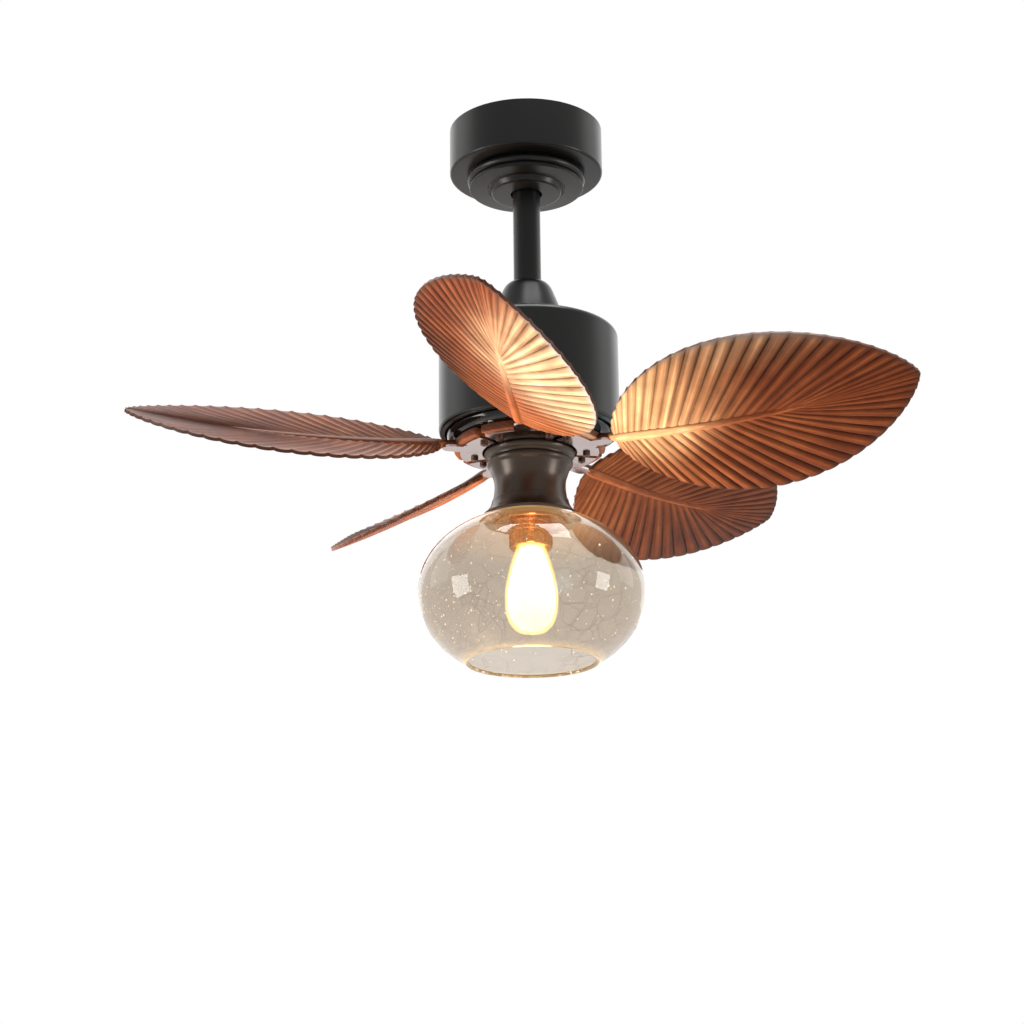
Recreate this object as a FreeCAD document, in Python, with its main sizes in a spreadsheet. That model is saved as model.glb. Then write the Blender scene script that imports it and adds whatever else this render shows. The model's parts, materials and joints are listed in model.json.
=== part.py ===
import FreeCAD, Part
import Sketcher
import math
import os

# Ceiling fan with five pleated leaf blades and a globe light.
# The origin is the centre of the ceiling plane, +Z points up, lengths are in millimetres.
# A drop is a depth below the ceiling plane, so a drop of 47 lies at z = -47.

document = FreeCAD.newDocument("CeilingFan")
sheet = document.addObject("Spreadsheet::Sheet", "Sizes")

# Driving dimensions, in millimetres and degrees
driving_sizes = {
    # Clearances and cuts
    "overrun": 2, "seat_gap": 0.3, "fit_gap": 0.03, "thread_gap": 0.05, "ball_gap": 0.08,
    # Ceiling plate and ball seat
    "plate_radius": 62, "plate_thickness": 3, "wire_hole_radius": 12,
    "box_slot_spacing": 88.9, "box_slot_width": 5, "box_slot_length": 11,
    "ball_drop": 31, "ball_radius": 24, "liner_thickness": 2.4,
    "seat_ring_radius": 33, "seat_start": 8, "seat_height": 6.5, "liner_margin": 1,
    "leg_thickness": 4, "leg_width": 20, "entry_gap": 1.6,
    "post_radius": 4.5, "post_ring_radius": 49, "post_angle": 135,
    # Canopy and its cover
    "canopy_radius": 75, "canopy_height": 47, "canopy_wall": 1.2, "canopy_round": 2.4,
    "canopy_hole_radius": 38, "cover_radius": 58, "cover_height": 14, "cover_wall": 1.4,
    "cover_bead_round": 2, "cover_lip_inset": 2.2, "cover_lip_height": 4, "boss_radius": 34.5, "boss_height": 6,
    "boss_round": 2.2, "rod_way": 1.8,
    # Fasteners
    "screw_radius": 2, "screw_head_radius": 3.5, "screw_head_height": 2.4,
    "canopy_screw_length": 12, "housing_screw_length": 9, "rotor_screw_length": 27,
    "blade_screw_length": 14, "set_screw_radius": 3, "set_screw_length": 9, "drive_radius": 1.5,
    "drive_depth": 1.2,
    # Receiver and terminals inside the canopy
    "receiver_length": 56, "receiver_depth": 24, "receiver_height": 20, "receiver_offset": 33,
    "terminal_length": 28, "terminal_depth": 14, "terminal_height": 12, "terminal_offset": 38,
    "terminal_hole_radius": 2, "terminal_pitch": 9, "receiver_round": 2.5,
    # Rod, pins and yoke
    "rod_radius": 13.35, "rod_wall": 2.9, "rod_top_drop": 10, "rod_bottom_drop": 196,
    "pin_radius": 3, "ball_pin_rise": 7, "ball_pin_length": 42,
    "yoke_radius": 20, "yoke_top_drop": 172, "yoke_flange_radius": 34, "yoke_flange_thickness": 5,
    "clevis_drop": 184, "clevis_reach": 4, "clevis_head_radius": 4.6, "clevis_head_length": 2,
    "cotter_radius": 0.8, "cotter_length": 12, "cotter_eye_radius": 2.6, "cotter_eye_width": 1.2, "set_screw_drop": 178,
    "bell_top_drop": 161.5, "bell_base_radius": 40, "bell_wall": 1.4, "bell_gap": 0.6,
    # Motor housing and shaft
    "housing_radius": 86.3, "housing_top_drop": 215, "housing_bottom_drop": 316, "housing_wall": 1.8,
    "housing_top_round": 6, "housing_bottom_round": 2.5, "housing_lip": 5.8, "housing_screw_ring": 27,
    "shaft_radius": 10, "shaft_bore_radius": 5.05, "shaft_top_drop": 199, "shaft_way": 2.5,
    "shaft_collar_radius": 13, "shaft_tail": 9,
    # Stator
    "stator_drop": 253, "stator_height": 26, "stator_hub_radius": 28, "stator_radius": 60.3,
    "tooth_width": 8, "shoe_width": 22, "shoe_depth": 5, "coil_width": 3.4, "coil_gap": 0.3,
    "coil_start_radius": 34, "coil_end_radius": 54, "coil_overhang": 4,
    # Bearings
    "bearing_radius": 21, "bearing_width": 12, "bearing_pitch_radius": 15.5, "bearing_ball_radius": 3.175,
    "race_gap": 4.4, "cage_wall": 1.8, "cage_height": 8.8, "cage_gap": 0.15,
    # Rotor
    "rotor_top_drop": 226, "rotor_plate": 4, "rotor_radius": 75, "rotor_inner_radius": 66.5,
    "rotor_split_drop": 300, "rotor_boss_radius": 26, "rotor_lip_radius": 17, "rotor_lip": 1,
    "rotor_screw_ring": 70.75, "magnet_thickness": 4, "magnet_height": 30, "magnet_angle": 26,
    "bowl_gap": 1.5, "bowl_depth": 14, "bowl_plate": 5, "bowl_round": 9, "lower_bearing_drop": 303,
    # Blade roots and irons
    "hub_drop": 325, "root_thickness": 8, "root_inner_radius": 47, "root_outer_radius": 72,
    "root_angle": 67, "iron_thickness": 2, "iron_inner_radius": 45.2, "iron_outer_radius": 66,
    "iron_angle": 66, "tongue_width": 15, "tongue_radius": 84, "blade_screw_ring": 54,
    "blade_screw_angle": 25.5, "rivet_radius": 1.3, "rivet_ring": 65, "rivet_angle": 11,
    "first_blade_angle": -23.65,
    # Leaf blades
    "leaf_root_radius": 86, "leaf_tip_radius": 381, "leaf_root_drop": 331, "leaf_tip_drop": 315,
    "leaf_sag": 8, "leaf_pitch": 31, "leaf_half_width": 90, "leaf_cup": 4.5, "leaf_thickness": 5,
    "leaf_edge_thickness": 3, "pleat_depth": 2.4, "rib_half_width": 6, "rib_tip_half_width": 1.4,
    "rib_height": 4.5, "stem_radius": 6.6, "stem_start_radius": 62,
    # Neck of the light
    "neck_top_drop": 332, "neck_plate": 4, "neck_wall": 3, "neck_top_radius": 37.5,
    "bead_radius": 43.2, "bead_height": 9, "groove_radius": 39.8, "second_bead_radius": 41,
    "second_bead_height": 10, "waist_radius": 33.7, "flare_radius": 45.8,
    "flare_drop": 398.4, "nut_radius": 16, "nut_height": 7,
    # Lamp holder
    "nipple_radius": 5, "nipple_bore_radius": 3.6, "nipple_top_drop": 331, "lead_radius": 3, "lead_gap": 0.7,
    "lead_top_drop": 12, "holder_radius": 20.4, "holder_top_drop": 377, "holder_bottom_drop": 429,
    "holder_plate": 4, "holder_bore_radius": 15, "holder_round": 1.5, "socket_wall": 1.45,
    "socket_margin": 4, "contact_radius": 5, "contact_height": 2.4,
    # Glass globe
    "globe_radius": 107.8, "globe_half_height": 80, "globe_drop": 473.5, "globe_wall": 3,
    "globe_top_hole_radius": 21.6, "globe_mouth_radius": 61.6, "globe_lip_radius": 2.4,
    "ring_radius": 35, "ring_plate": 2, "ring_rim": 2, "ring_depth": 4,
    "gasket_radius": 44.6, "gasket_width": 3.4,
    # Lamp
    "cap_radius": 13.2, "cap_top_drop": 386, "cap_bottom_drop": 410, "cap_tip_radius": 4.6,
    "bulb_radius": 25, "bulb_neck_radius": 12.8, "bulb_bottom_drop": 512, "bulb_wall": 1,
    "stem_glass_radius": 4, "stem_bottom_drop": 446, "filament_radius": 1, "filament_ring": 6,
    "filament_bottom_drop": 490, "filament_disc": 2,
}

# Counts and proportions
blade_count = 5
tooth_count = 12
magnet_count = 12
bearing_ball_count = 8
housing_screw_count = 4
rotor_screw_count = 6
filament_count = 4
terminal_count = 3
pleats_per_side = 26

for row, (alias, number) in enumerate(driving_sizes.items(), start=1):
    sheet.set(f"A{row}", alias)
    sheet.set(f"B{row}", str(number))
    sheet.setAlias(f"B{row}", alias)
document.recompute()


class Size:
    """A value of the sheet, or a sum worked out from such values, and the expression that binds it."""

    def __init__(self, value, text):
        self.value = value
        self.text = text

    def __add__(self, other):
        other = as_size(other)
        return Size(self.value + other.value, f"({self.text} + {other.text})")

    def __sub__(self, other):
        other = as_size(other)
        return Size(self.value - other.value, f"({self.text} - {other.text})")

    def __mul__(self, other):
        other = as_size(other)
        return Size(self.value * other.value, f"({self.text} * {other.text})")

    def __truediv__(self, other):
        other = as_size(other)
        return Size(self.value / other.value, f"({self.text} / {other.text})")

    def __neg__(self):
        return Size(-self.value, f"(-{self.text})")


def as_size(number):
    return number if isinstance(number, Size) else Size(float(number), f"({float(number)!r})")


def size(alias):
    return Size(float(getattr(sheet, alias)), f"Sizes.{alias}")


def root_of(amount):
    return Size(math.sqrt(amount.value), f"sqrt({amount.text})")


def cosine(angle):
    return Size(math.cos(math.radians(angle.value)), f"cos({angle.text})")


def sine(angle):
    return Size(math.sin(math.radians(angle.value)), f"sin({angle.text})")


zero = as_size(0)
parts = []


def keep(part, label):
    """Name a finished sub-part and put it on the list of those that are written."""
    part.Label = label
    parts.append(part)
    return part


def bind(thing, **values):
    """Bind properties of an object to the sheet; x, y and z are the place of its own origin."""
    for name, value in values.items():
        path = f"Placement.Base.{name}" if name in ("x", "y", "z") else name
        thing.setExpression(path, as_size(value).text)
    return thing


def upright(name, radius, top, bottom, x=zero, y=zero):
    """An upright round bar from one drop to a lower one."""
    bar = document.addObject("Part::Cylinder", name)
    return bind(bar, Radius=radius, Height=bottom - top, x=x, y=y, z=-bottom)


def crossbar(name, radius, start, end, drop, along):
    """A level round bar along X or Y."""
    bar = document.addObject("Part::Cylinder", name)
    level = FreeCAD.Vector(0, 1, 0) if along == "x" else FreeCAD.Vector(-1, 0, 0)
    bar.Placement = FreeCAD.Placement(FreeCAD.Vector(), FreeCAD.Rotation(level, 90))
    bind(bar, Radius=radius, Height=end - start, z=-drop)
    return bind(bar, **{along: start})


def block(name, left, right, front, back, top, bottom):
    """A box between two values of X, two of Y and two drops."""
    box = document.addObject("Part::Box", name)
    bind(box, Length=right - left, Width=back - front, Height=bottom - top)
    return bind(box, x=left, y=front, z=-bottom)


def ball(name, radius, drop):
    sphere = document.addObject("Part::Sphere", name)
    return bind(sphere, Radius=radius, z=-drop)


def cut(name, base, *tools):
    """The base with each tool cut away in turn."""
    for number, tool in enumerate(tools, start=1):
        result = document.addObject("Part::Cut", f"{name}_cut_{number}")
        result.Base = base
        result.Tool = tool
        base = result
    return base


def join(name, *pieces):
    fused = document.addObject("Part::MultiFuse", f"{name}_join")
    fused.Shapes = list(pieces)
    return fused


def shaped(name, shape):
    """A sub-part, or a group of them, whose shape is worked out here."""
    feature = document.addObject("Part::Feature", name)
    feature.Shape = shape
    return feature


def corner_place(before, here, after, radius):
    """Where a rounded corner leaves its two sides, and the centre of its arc."""
    back = (before - here).normalize()
    ahead = (after - here).normalize()
    half_turn = back.getAngle(ahead) / 2
    reach = radius / math.tan(half_turn)
    centre = here + (back + ahead).normalize() * (radius / math.sin(half_turn))
    return here + back * reach, here + ahead * reach, centre


def turned(name, *corners):
    """A turned body: a closed outline of (radius, drop) or (radius, drop, round), spun about Z."""
    body = document.addObject("PartDesign::Body", f"{name}_body")
    sketch = body.newObject("Sketcher::SketchObject", f"{name}_outline")
    plane = [part for part in body.Origin.OriginFeatures if part.Role == "XZ_Plane"][0]
    sketch.AttachmentSupport = [(plane, "")]
    sketch.MapMode = "FlatFace"
    count = len(corners)
    points = [FreeCAD.Vector(corner[0].value, -corner[1].value, 0) for corner in corners]
    ends = [(point, point) for point in points]
    arcs = {}
    for index, corner in enumerate(corners):
        if len(corner) > 2:
            before = points[index - 1]
            after = points[(index + 1) % count]
            start, end, centre = corner_place(before, points[index], after, corner[2].value)
            ends[index] = (start, end)
            arcs[index] = (start, end, centre)
    lines = [Part.LineSegment(ends[index][1], ends[(index + 1) % count][0]) for index in range(count)]
    sketch.addGeometry(lines, False)
    rules = []
    bound = []

    def pin_down(geometry, place, radius, drop):
        """Hold a point at its radius and its drop."""
        if radius.value == 0:
            rules.append(Sketcher.Constraint("PointOnObject", geometry, place, -2))
        else:
            bound.append((len(rules), radius))
            rules.append(Sketcher.Constraint("DistanceX", -1, 1, geometry, place, radius.value))
        if drop.value == 0:
            rules.append(Sketcher.Constraint("PointOnObject", geometry, place, -1))
        else:
            bound.append((len(rules), drop))
            rules.append(Sketcher.Constraint("DistanceY", geometry, place, -1, 1, drop.value))

    for index, corner in enumerate(corners):
        side_before = (index - 1) % count
        if index not in arcs:
            rules.append(Sketcher.Constraint("Coincident", side_before, 2, index, 1))
            pin_down(index, 1, corner[0], corner[1])
            continue
        start, end, centre = arcs[index]
        circle = Part.Circle(centre, FreeCAD.Vector(0, 0, 1), corner[2].value)
        turns_left = (start - centre).cross(end - centre).z > 0
        from_point, to_point = (start, end) if turns_left else (end, start)
        first, last = (1, 2) if turns_left else (2, 1)
        arc_edge = Part.ArcOfCircle(circle, circle.parameter(from_point), circle.parameter(to_point))
        arc = sketch.addGeometry(arc_edge, False)
        point = sketch.addGeometry(Part.Point(points[index]), True)
        rules.append(Sketcher.Constraint("Tangent", side_before, 2, arc, first))
        rules.append(Sketcher.Constraint("Tangent", arc, last, index, 1))
        bound.append((len(rules), corner[2]))
        rules.append(Sketcher.Constraint("Radius", arc, corner[2].value))
        rules.append(Sketcher.Constraint("PointOnObject", point, 1, side_before))
        rules.append(Sketcher.Constraint("PointOnObject", point, 1, index))
        pin_down(point, 1, corner[0], corner[1])
    sketch.addConstraint(rules)
    for place, value in bound:
        sketch.setExpression(f"Constraints[{place}]", value.text)
    spin = body.newObject("PartDesign::Revolution", f"{name}_turn")
    spin.Profile = sketch
    spin.ReferenceAxis = (sketch, ["V_Axis"])
    spin.Angle = 360
    return body


def point_at(radius, drop):
    """A point of an outline in the XZ plane, from two sizes or numbers."""
    return FreeCAD.Vector(as_size(radius).value, 0, -as_size(drop).value)


def smooth(*points):
    curve = Part.BSplineCurve()
    curve.interpolate(list(points))
    return curve.toShape()


def straight(start, end):
    return Part.LineSegment(start, end).toShape()


def arc_through(start, middle, end):
    return Part.Arc(start, middle, end).toShape()


def spun(name, *edges):
    """A piece with a smooth outline, spun about Z."""
    face = Part.Face(Part.Wire(Part.__sortEdges__(list(edges))))
    shape = face.revolve(FreeCAD.Vector(), FreeCAD.Vector(0, 0, 1), 360)
    return shaped(name, shape if shape.ShapeType == "Solid" else shape.Solids[0])


def about_axis(shape, angle):
    """A copy of a shape, turned about Z by an angle in degrees."""
    copy = shape.copy()
    copy.rotate(FreeCAD.Vector(), FreeCAD.Vector(0, 0, 1), angle)
    return copy


def screw_shape(ring, shank_length, head_drop, head_down):
    """One pan-head screw at a ring radius on +X, its head below or above the seat at head_drop."""
    radius = size("screw_radius").value
    head_radius = size("screw_head_radius").value
    head_height = size("screw_head_height").value
    drive_radius = size("drive_radius").value
    drive_depth = size("drive_depth").value
    up = FreeCAD.Vector(0, 0, 1 if head_down else -1)
    seat = FreeCAD.Vector(ring, 0, -head_drop)
    shank = Part.makeCylinder(radius, shank_length, seat, up)
    head = Part.makeCylinder(head_radius, head_height, seat - up * head_height, up)
    drive = Part.makeCylinder(drive_radius, drive_depth, seat - up * head_height, up)
    return shank.fuse(head).cut(drive)


def screw_group(label, ring, length, head_drop, head_down, angles):
    """Identical screws about the axis, as one group of separate solids."""
    screw = screw_shape(ring.value, length.value, head_drop.value, head_down)
    return keep(shaped(label, Part.makeCompound([about_axis(screw, angle) for angle in angles])), label)


def hole_ring(name, radius, ring, top, bottom, angles):
    """Upright round tools on a ring, one for each angle."""
    tools = []
    for number, angle in enumerate(angles, start=1):
        x = ring * cosine(as_size(angle))
        y = ring * sine(as_size(angle))
        tools.append(upright(f"{name}_{number}", radius, top, bottom, x, y))
    return tools


# Ceiling plate with its slots, legs, ball seat and canopy posts
overrun = size("overrun")
plate_bottom = size("plate_thickness")
rod_radius = size("rod_radius")
canopy_floor = size("canopy_height") - size("canopy_wall")
screw_hole = size("screw_radius") + size("thread_gap")
post_angles = [size("post_angle").value, size("post_angle").value + 180]
liner_inner = size("ball_radius") + size("ball_gap")
liner_outer = liner_inner + size("liner_thickness")
seat_radius = liner_outer + size("ball_gap")
seat_top = size("ball_drop") + size("seat_start")
seat_bottom = seat_top + size("seat_height")
entry_half = rod_radius + size("entry_gap")


def slot_tools(name, side):
    """The three tools that cut one slot, on one side of the axis."""
    half_width = size("box_slot_width") / 2
    middle = size("box_slot_spacing") / 2
    half_run = (size("box_slot_length") - size("box_slot_width")) / 2
    near = (middle - half_run) * side
    far = (middle + half_run) * side
    left, right = (near, far) if side > 0 else (far, near)
    top = -overrun
    bottom = plate_bottom + overrun
    return [
        block(f"{name}_run", left, right, -half_width, half_width, top, bottom),
        upright(f"{name}_near", half_width, top, bottom, near),
        upright(f"{name}_far", half_width, top, bottom, far),
    ]


def hanger_bracket():
    plate = upright("plate_disc", size("plate_radius"), zero, plate_bottom)
    half_leg = size("leg_width") / 2
    outer = size("seat_ring_radius")
    inner = outer - size("leg_thickness")
    legs = [
        block("leg_right", inner, outer, -half_leg, half_leg, plate_bottom, seat_bottom),
        block("leg_left", -outer, -inner, -half_leg, half_leg, plate_bottom, seat_bottom),
    ]
    ring = upright("seat_disc", outer, seat_top, seat_bottom)
    posts = hole_ring(
        "post", size("post_radius"), size("post_ring_radius"), plate_bottom, canopy_floor, post_angles
    )
    screw_top = canopy_floor + size("canopy_wall") - size("canopy_screw_length") - overrun
    post_holes = hole_ring(
        "post_hole", screw_hole, size("post_ring_radius"), screw_top, canopy_floor + overrun, post_angles
    )
    bracket = cut(
        "hanger_bracket",
        join("hanger_bracket", plate, ring, *legs, *posts),
        ball("seat_hollow", seat_radius, size("ball_drop")),
        upright("wire_hole", size("wire_hole_radius"), -overrun, plate_bottom + overrun),
        block("rod_entry", -entry_half, entry_half, zero, outer + overrun, seat_top - overrun,
              seat_bottom + overrun),
        *slot_tools("slot_right", 1),
        *slot_tools("slot_left", -1),
        *post_holes,
    )
    keep(bracket, "hanger_bracket")


def seat_liner():
    """Spherical cup that the ball rests in, open on the side where the rod is hooked in."""
    top = seat_top - size("liner_margin")
    bottom = seat_bottom + size("liner_margin")
    band = upright("liner_band", seat_radius, top, bottom)
    ball_drop = size("ball_drop")
    outside = ball("liner_outside", liner_outer, ball_drop)
    shell = document.addObject("Part::Common", "liner_shell")
    shell.Base = band
    shell.Tool = outside
    liner = cut(
        "seat_liner",
        shell,
        ball("liner_hollow", liner_inner, ball_drop),
        block("liner_entry", -entry_half, entry_half, zero, seat_radius + overrun, top - overrun,
              bottom + overrun),
    )
    keep(liner, "seat_liner")


def canopy():
    wall = size("canopy_wall")
    radius = size("canopy_radius")
    height = size("canopy_height")
    cup = turned(
        "canopy",
        (radius, zero),
        (radius, height, size("canopy_round")),
        (size("canopy_hole_radius"), height),
        (size("canopy_hole_radius"), canopy_floor),
        (radius - wall, canopy_floor, size("canopy_round") - wall),
        (radius - wall, zero),
    )
    holes = hole_ring(
        "canopy_hole", screw_hole, size("post_ring_radius"), canopy_floor - overrun, height + overrun,
        post_angles
    )
    keep(cut("canopy", cup, *holes), "canopy")
    screw_group(
        "canopy_screws", size("post_ring_radius"), size("canopy_screw_length"), height, True, post_angles
    )


def canopy_cover():
    """Stepped trim: a rounded bead, a thin lip and a low boss that the rod passes through."""
    wall = size("cover_wall")
    top = size("canopy_height")
    bottom = top + size("cover_height")
    boss_bottom = bottom + size("boss_height")
    bead = size("cover_radius")
    lip = bead - size("cover_lip_inset")
    lip_top = bottom - size("cover_lip_height")
    way = rod_radius + size("rod_way")
    boss = size("boss_radius")
    cover = turned(
        "canopy_cover",
        (bead - wall, top),
        (bead, top),
        (bead, lip_top, size("cover_bead_round")),
        (lip, lip_top),
        (lip, bottom),
        (boss, bottom),
        (boss, boss_bottom, size("boss_round")),
        (way, boss_bottom),
        (way, boss_bottom - wall),
        (boss - wall, boss_bottom - wall),
        (boss - wall, bottom - wall),
        (lip - wall, bottom - wall),
        (lip - wall, lip_top - wall),
        (bead - wall, lip_top - wall),
    )
    keep(cover, "canopy_cover")


def receiver_and_terminals():
    half = size("receiver_length") / 2
    near = size("receiver_offset")
    far = near + size("receiver_depth")
    body = block("receiver_body", -half, half, near, far, plate_bottom, plate_bottom + size("receiver_height"))
    document.recompute()
    upright_edges = [
        number for number, edge in enumerate(body.Shape.Edges, start=1)
        if abs(edge.tangentAt(edge.FirstParameter).z) == 1
    ]
    rounded = document.addObject("Part::Fillet", "receiver_rounded")
    rounded.Base = body
    round_value = size("receiver_round").value
    rounded.Edges = [(number, round_value, round_value) for number in upright_edges]
    keep(rounded, "receiver_box")
    half = size("terminal_length") / 2
    back = -size("terminal_offset")
    front = back - size("terminal_depth")
    bottom = plate_bottom + size("terminal_height")
    strip = block("terminal_strip", -half, half, front, back, plate_bottom, bottom)
    ways = []
    for number in range(terminal_count):
        x = size("terminal_pitch") * (number - (terminal_count - 1) / 2)
        middle = plate_bottom + size("terminal_height") / 2
        way = crossbar(f"terminal_way_{number}", size("terminal_hole_radius"), front - overrun, back + overrun,
                       middle, "y")
        ways.append(bind(way, x=x))
    keep(cut("terminal_block", strip, *ways), "terminal_block")


def ball_and_rod():
    ball_drop = size("ball_drop")
    pin_drop = ball_drop - size("ball_pin_rise")
    half_pin = size("ball_pin_length") / 2
    pin_hole = size("pin_radius") + size("thread_gap")
    bore = rod_radius + size("thread_gap")
    reach = size("ball_radius") + overrun
    sphere = cut(
        "hanger_ball",
        ball("ball_body", size("ball_radius"), ball_drop),
        upright("ball_bore", bore, ball_drop - reach, ball_drop + reach),
        crossbar("ball_pin_hole", pin_hole, -reach, reach, pin_drop, "x"),
    )
    keep(sphere, "hanger_ball")
    keep(crossbar("ball_pin_bar", size("pin_radius"), -half_pin, half_pin, pin_drop, "x"), "ball_pin")
    inner = rod_radius - size("rod_wall")
    top = size("rod_top_drop")
    bottom = size("rod_bottom_drop")
    tube = turned("downrod", (inner, top), (rod_radius, top), (rod_radius, bottom), (inner, bottom))
    rod = cut(
        "downrod",
        tube,
        crossbar("rod_ball_hole", pin_hole, -reach, reach, pin_drop, "x"),
        crossbar("rod_clevis_hole", pin_hole, -reach, reach, size("clevis_drop"), "x"),
    )
    keep(rod, "downrod")


def yoke_and_pins():
    """Collar on the motor shaft, with the pin and screws that hold the rod in it."""
    radius = size("yoke_radius")
    top = size("yoke_top_drop")
    bottom = size("housing_top_drop")
    flange_top = bottom - size("yoke_flange_thickness")
    bore = rod_radius + size("thread_gap")
    shaft_bore = size("shaft_radius") + size("fit_gap")
    seat = size("rod_bottom_drop")
    collar = turned(
        "motor_yoke",
        (bore, top), (radius, top), (radius, flange_top), (size("yoke_flange_radius"), flange_top),
        (size("yoke_flange_radius"), bottom), (shaft_bore, bottom), (shaft_bore, seat), (bore, seat),
    )
    pin_hole = size("pin_radius") + size("thread_gap")
    set_hole = size("set_screw_radius") + size("thread_gap")
    reach = radius + overrun
    yoke = cut(
        "motor_yoke",
        collar,
        crossbar("yoke_pin_hole", pin_hole, -reach, reach, size("clevis_drop"), "x"),
        crossbar("yoke_set_hole", set_hole, -reach, reach, size("set_screw_drop"), "y"),
        *hole_ring("yoke_flange_hole", screw_hole, size("housing_screw_ring"), flange_top - overrun,
                   bottom + overrun, housing_angles),
    )
    keep(yoke, "motor_yoke")
    tail = -radius - size("clevis_reach")
    shank = crossbar("clevis_shank", size("pin_radius"), tail, radius, size("clevis_drop"), "x")
    head_end = radius + size("clevis_head_length")
    head = crossbar("clevis_head", size("clevis_head_radius"), radius, head_end, size("clevis_drop"), "x")
    cotter_x = -radius - size("clevis_reach") / 2
    cotter_hole = size("cotter_radius") + size("thread_gap")
    half_cotter = size("cotter_length") / 2
    cotter_top = size("clevis_drop") - half_cotter
    cotter_bottom = size("clevis_drop") + half_cotter
    pin = cut(
        "clevis_pin",
        join("clevis_pin", shank, head),
        upright("clevis_cotter_hole", cotter_hole, cotter_top, cotter_bottom, cotter_x),
    )
    keep(pin, "clevis_pin")
    leg = upright("cotter_leg", size("cotter_radius"), cotter_top, cotter_bottom, cotter_x)
    eye_radius = size("cotter_eye_radius")
    eye_drop = cotter_top - eye_radius
    eye_left = cotter_x - size("cotter_eye_width") / 2
    eye_right = cotter_x + size("cotter_eye_width") / 2
    eye = cut(
        "cotter_eye",
        crossbar("cotter_eye_outside", eye_radius + size("cotter_radius"), eye_left, eye_right, eye_drop, "x"),
        crossbar("cotter_eye_inside", eye_radius - size("cotter_radius"), eye_left - overrun,
                 eye_right + overrun, eye_drop, "x"),
    )
    keep(join("cotter_pin", leg, eye), "cotter_pin")
    start = bore
    end = bore + size("set_screw_length")
    bars = [
        crossbar("set_screw_back", size("set_screw_radius"), start, end, size("set_screw_drop"), "y"),
        crossbar("set_screw_front", size("set_screw_radius"), -end, -start, size("set_screw_drop"), "y"),
    ]
    group = document.addObject("Part::Compound", "set_screw_group")
    group.Links = bars
    keep(group, "yoke_set_screws")


# Shares of the bell's width and height, from its neck at the rod down to its base
bell_shares = [(0.2, 0.03), (0.36, 0.12), (0.52, 0.31), (0.68, 0.52), (0.85, 0.77)]


def coupling_cover():
    """Bell over the yoke, seated on the motor housing."""
    neck = (rod_radius + size("bell_gap")).value
    base = size("bell_base_radius").value
    top = size("bell_top_drop").value
    bottom = size("housing_top_drop").value
    wall = size("bell_wall").value

    def side(inset):
        middle = [
            point_at(neck + (base - neck) * across - inset, top + inset + (bottom - top - inset) * down)
            for across, down in bell_shares
        ]
        return [point_at(neck, top + inset)] + middle + [point_at(base - inset, bottom)]

    outer = side(0)
    inner = side(wall)
    bell = spun(
        "coupling_cover", smooth(*outer), straight(outer[-1], inner[-1]), smooth(*inner),
        straight(inner[0], outer[0])
    )
    keep(bell, "coupling_cover")


housing_angles = [45 + 360 * number / housing_screw_count for number in range(housing_screw_count)]
rotor_angles = [360 * number / rotor_screw_count for number in range(rotor_screw_count)]


def motor_housing():
    """Black drum around the motor, with a turned-in lip at its open bottom."""
    radius = size("housing_radius")
    wall = size("housing_wall")
    top = size("housing_top_drop")
    bottom = size("housing_bottom_drop")
    inner = radius - wall
    lip = radius - size("housing_lip")
    hole = size("shaft_radius") + size("shaft_way")
    drum = turned(
        "motor_housing",
        (hole, top),
        (radius, top, size("housing_top_round")),
        (radius, bottom, size("housing_bottom_round")),
        (lip, bottom),
        (lip, bottom - wall),
        (inner, bottom - wall),
        (inner, top + wall, size("housing_top_round") - wall),
        (hole, top + wall),
    )
    ring = size("housing_screw_ring")
    holes = hole_ring("housing_hole", screw_hole, ring, top - overrun, top + wall + overrun, housing_angles)
    keep(cut("motor_housing", drum, *holes), "motor_housing")
    flange_top = top - size("yoke_flange_thickness")
    screw_group("housing_screws", ring, size("housing_screw_length"), flange_top, False, housing_angles)


def shaft_and_lead():
    """Hollow fixed shaft, with a collar that the neck of the light is clamped against."""
    radius = size("shaft_radius")
    bore = size("shaft_bore_radius")
    collar = size("shaft_collar_radius")
    neck_top = size("neck_top_drop")
    collar_top = size("hub_drop") + (neck_top - size("hub_drop")) / 3
    bottom = neck_top + size("neck_plate") + size("shaft_tail")
    shaft = turned(
        "motor_shaft",
        (bore, size("shaft_top_drop")), (radius, size("shaft_top_drop")), (radius, collar_top),
        (collar, collar_top), (collar, neck_top), (radius, neck_top), (radius, bottom), (bore, bottom),
    )
    keep(shaft, "motor_shaft")
    lead = size("lead_radius").value
    beside = (size("pin_radius") + size("lead_radius") + size("lead_gap")).value
    bend_top = (size("clevis_drop") + size("pin_radius") + size("lead_gap") * 2).value
    bend_bottom = (size("shaft_top_drop") - size("lead_gap")).value
    contact_top = (size("holder_top_drop") + size("holder_plate")).value
    route = [
        FreeCAD.Vector(0, beside, -size("lead_top_drop").value),
        FreeCAD.Vector(0, beside, -bend_top),
        FreeCAD.Vector(0, 0, -bend_bottom),
        FreeCAD.Vector(0, 0, -contact_top),
    ]
    runs = [
        Part.makeCylinder(lead, (end - start).Length, start, end - start)
        for start, end in zip(route, route[1:])
    ]
    bends = [Part.makeSphere(lead, place) for place in route[1:-1]]
    keep(shaped("lead_run", runs[0].multiFuse(runs[1:] + bends).removeSplitter().Solids[0]), "wiring_lead")


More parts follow.
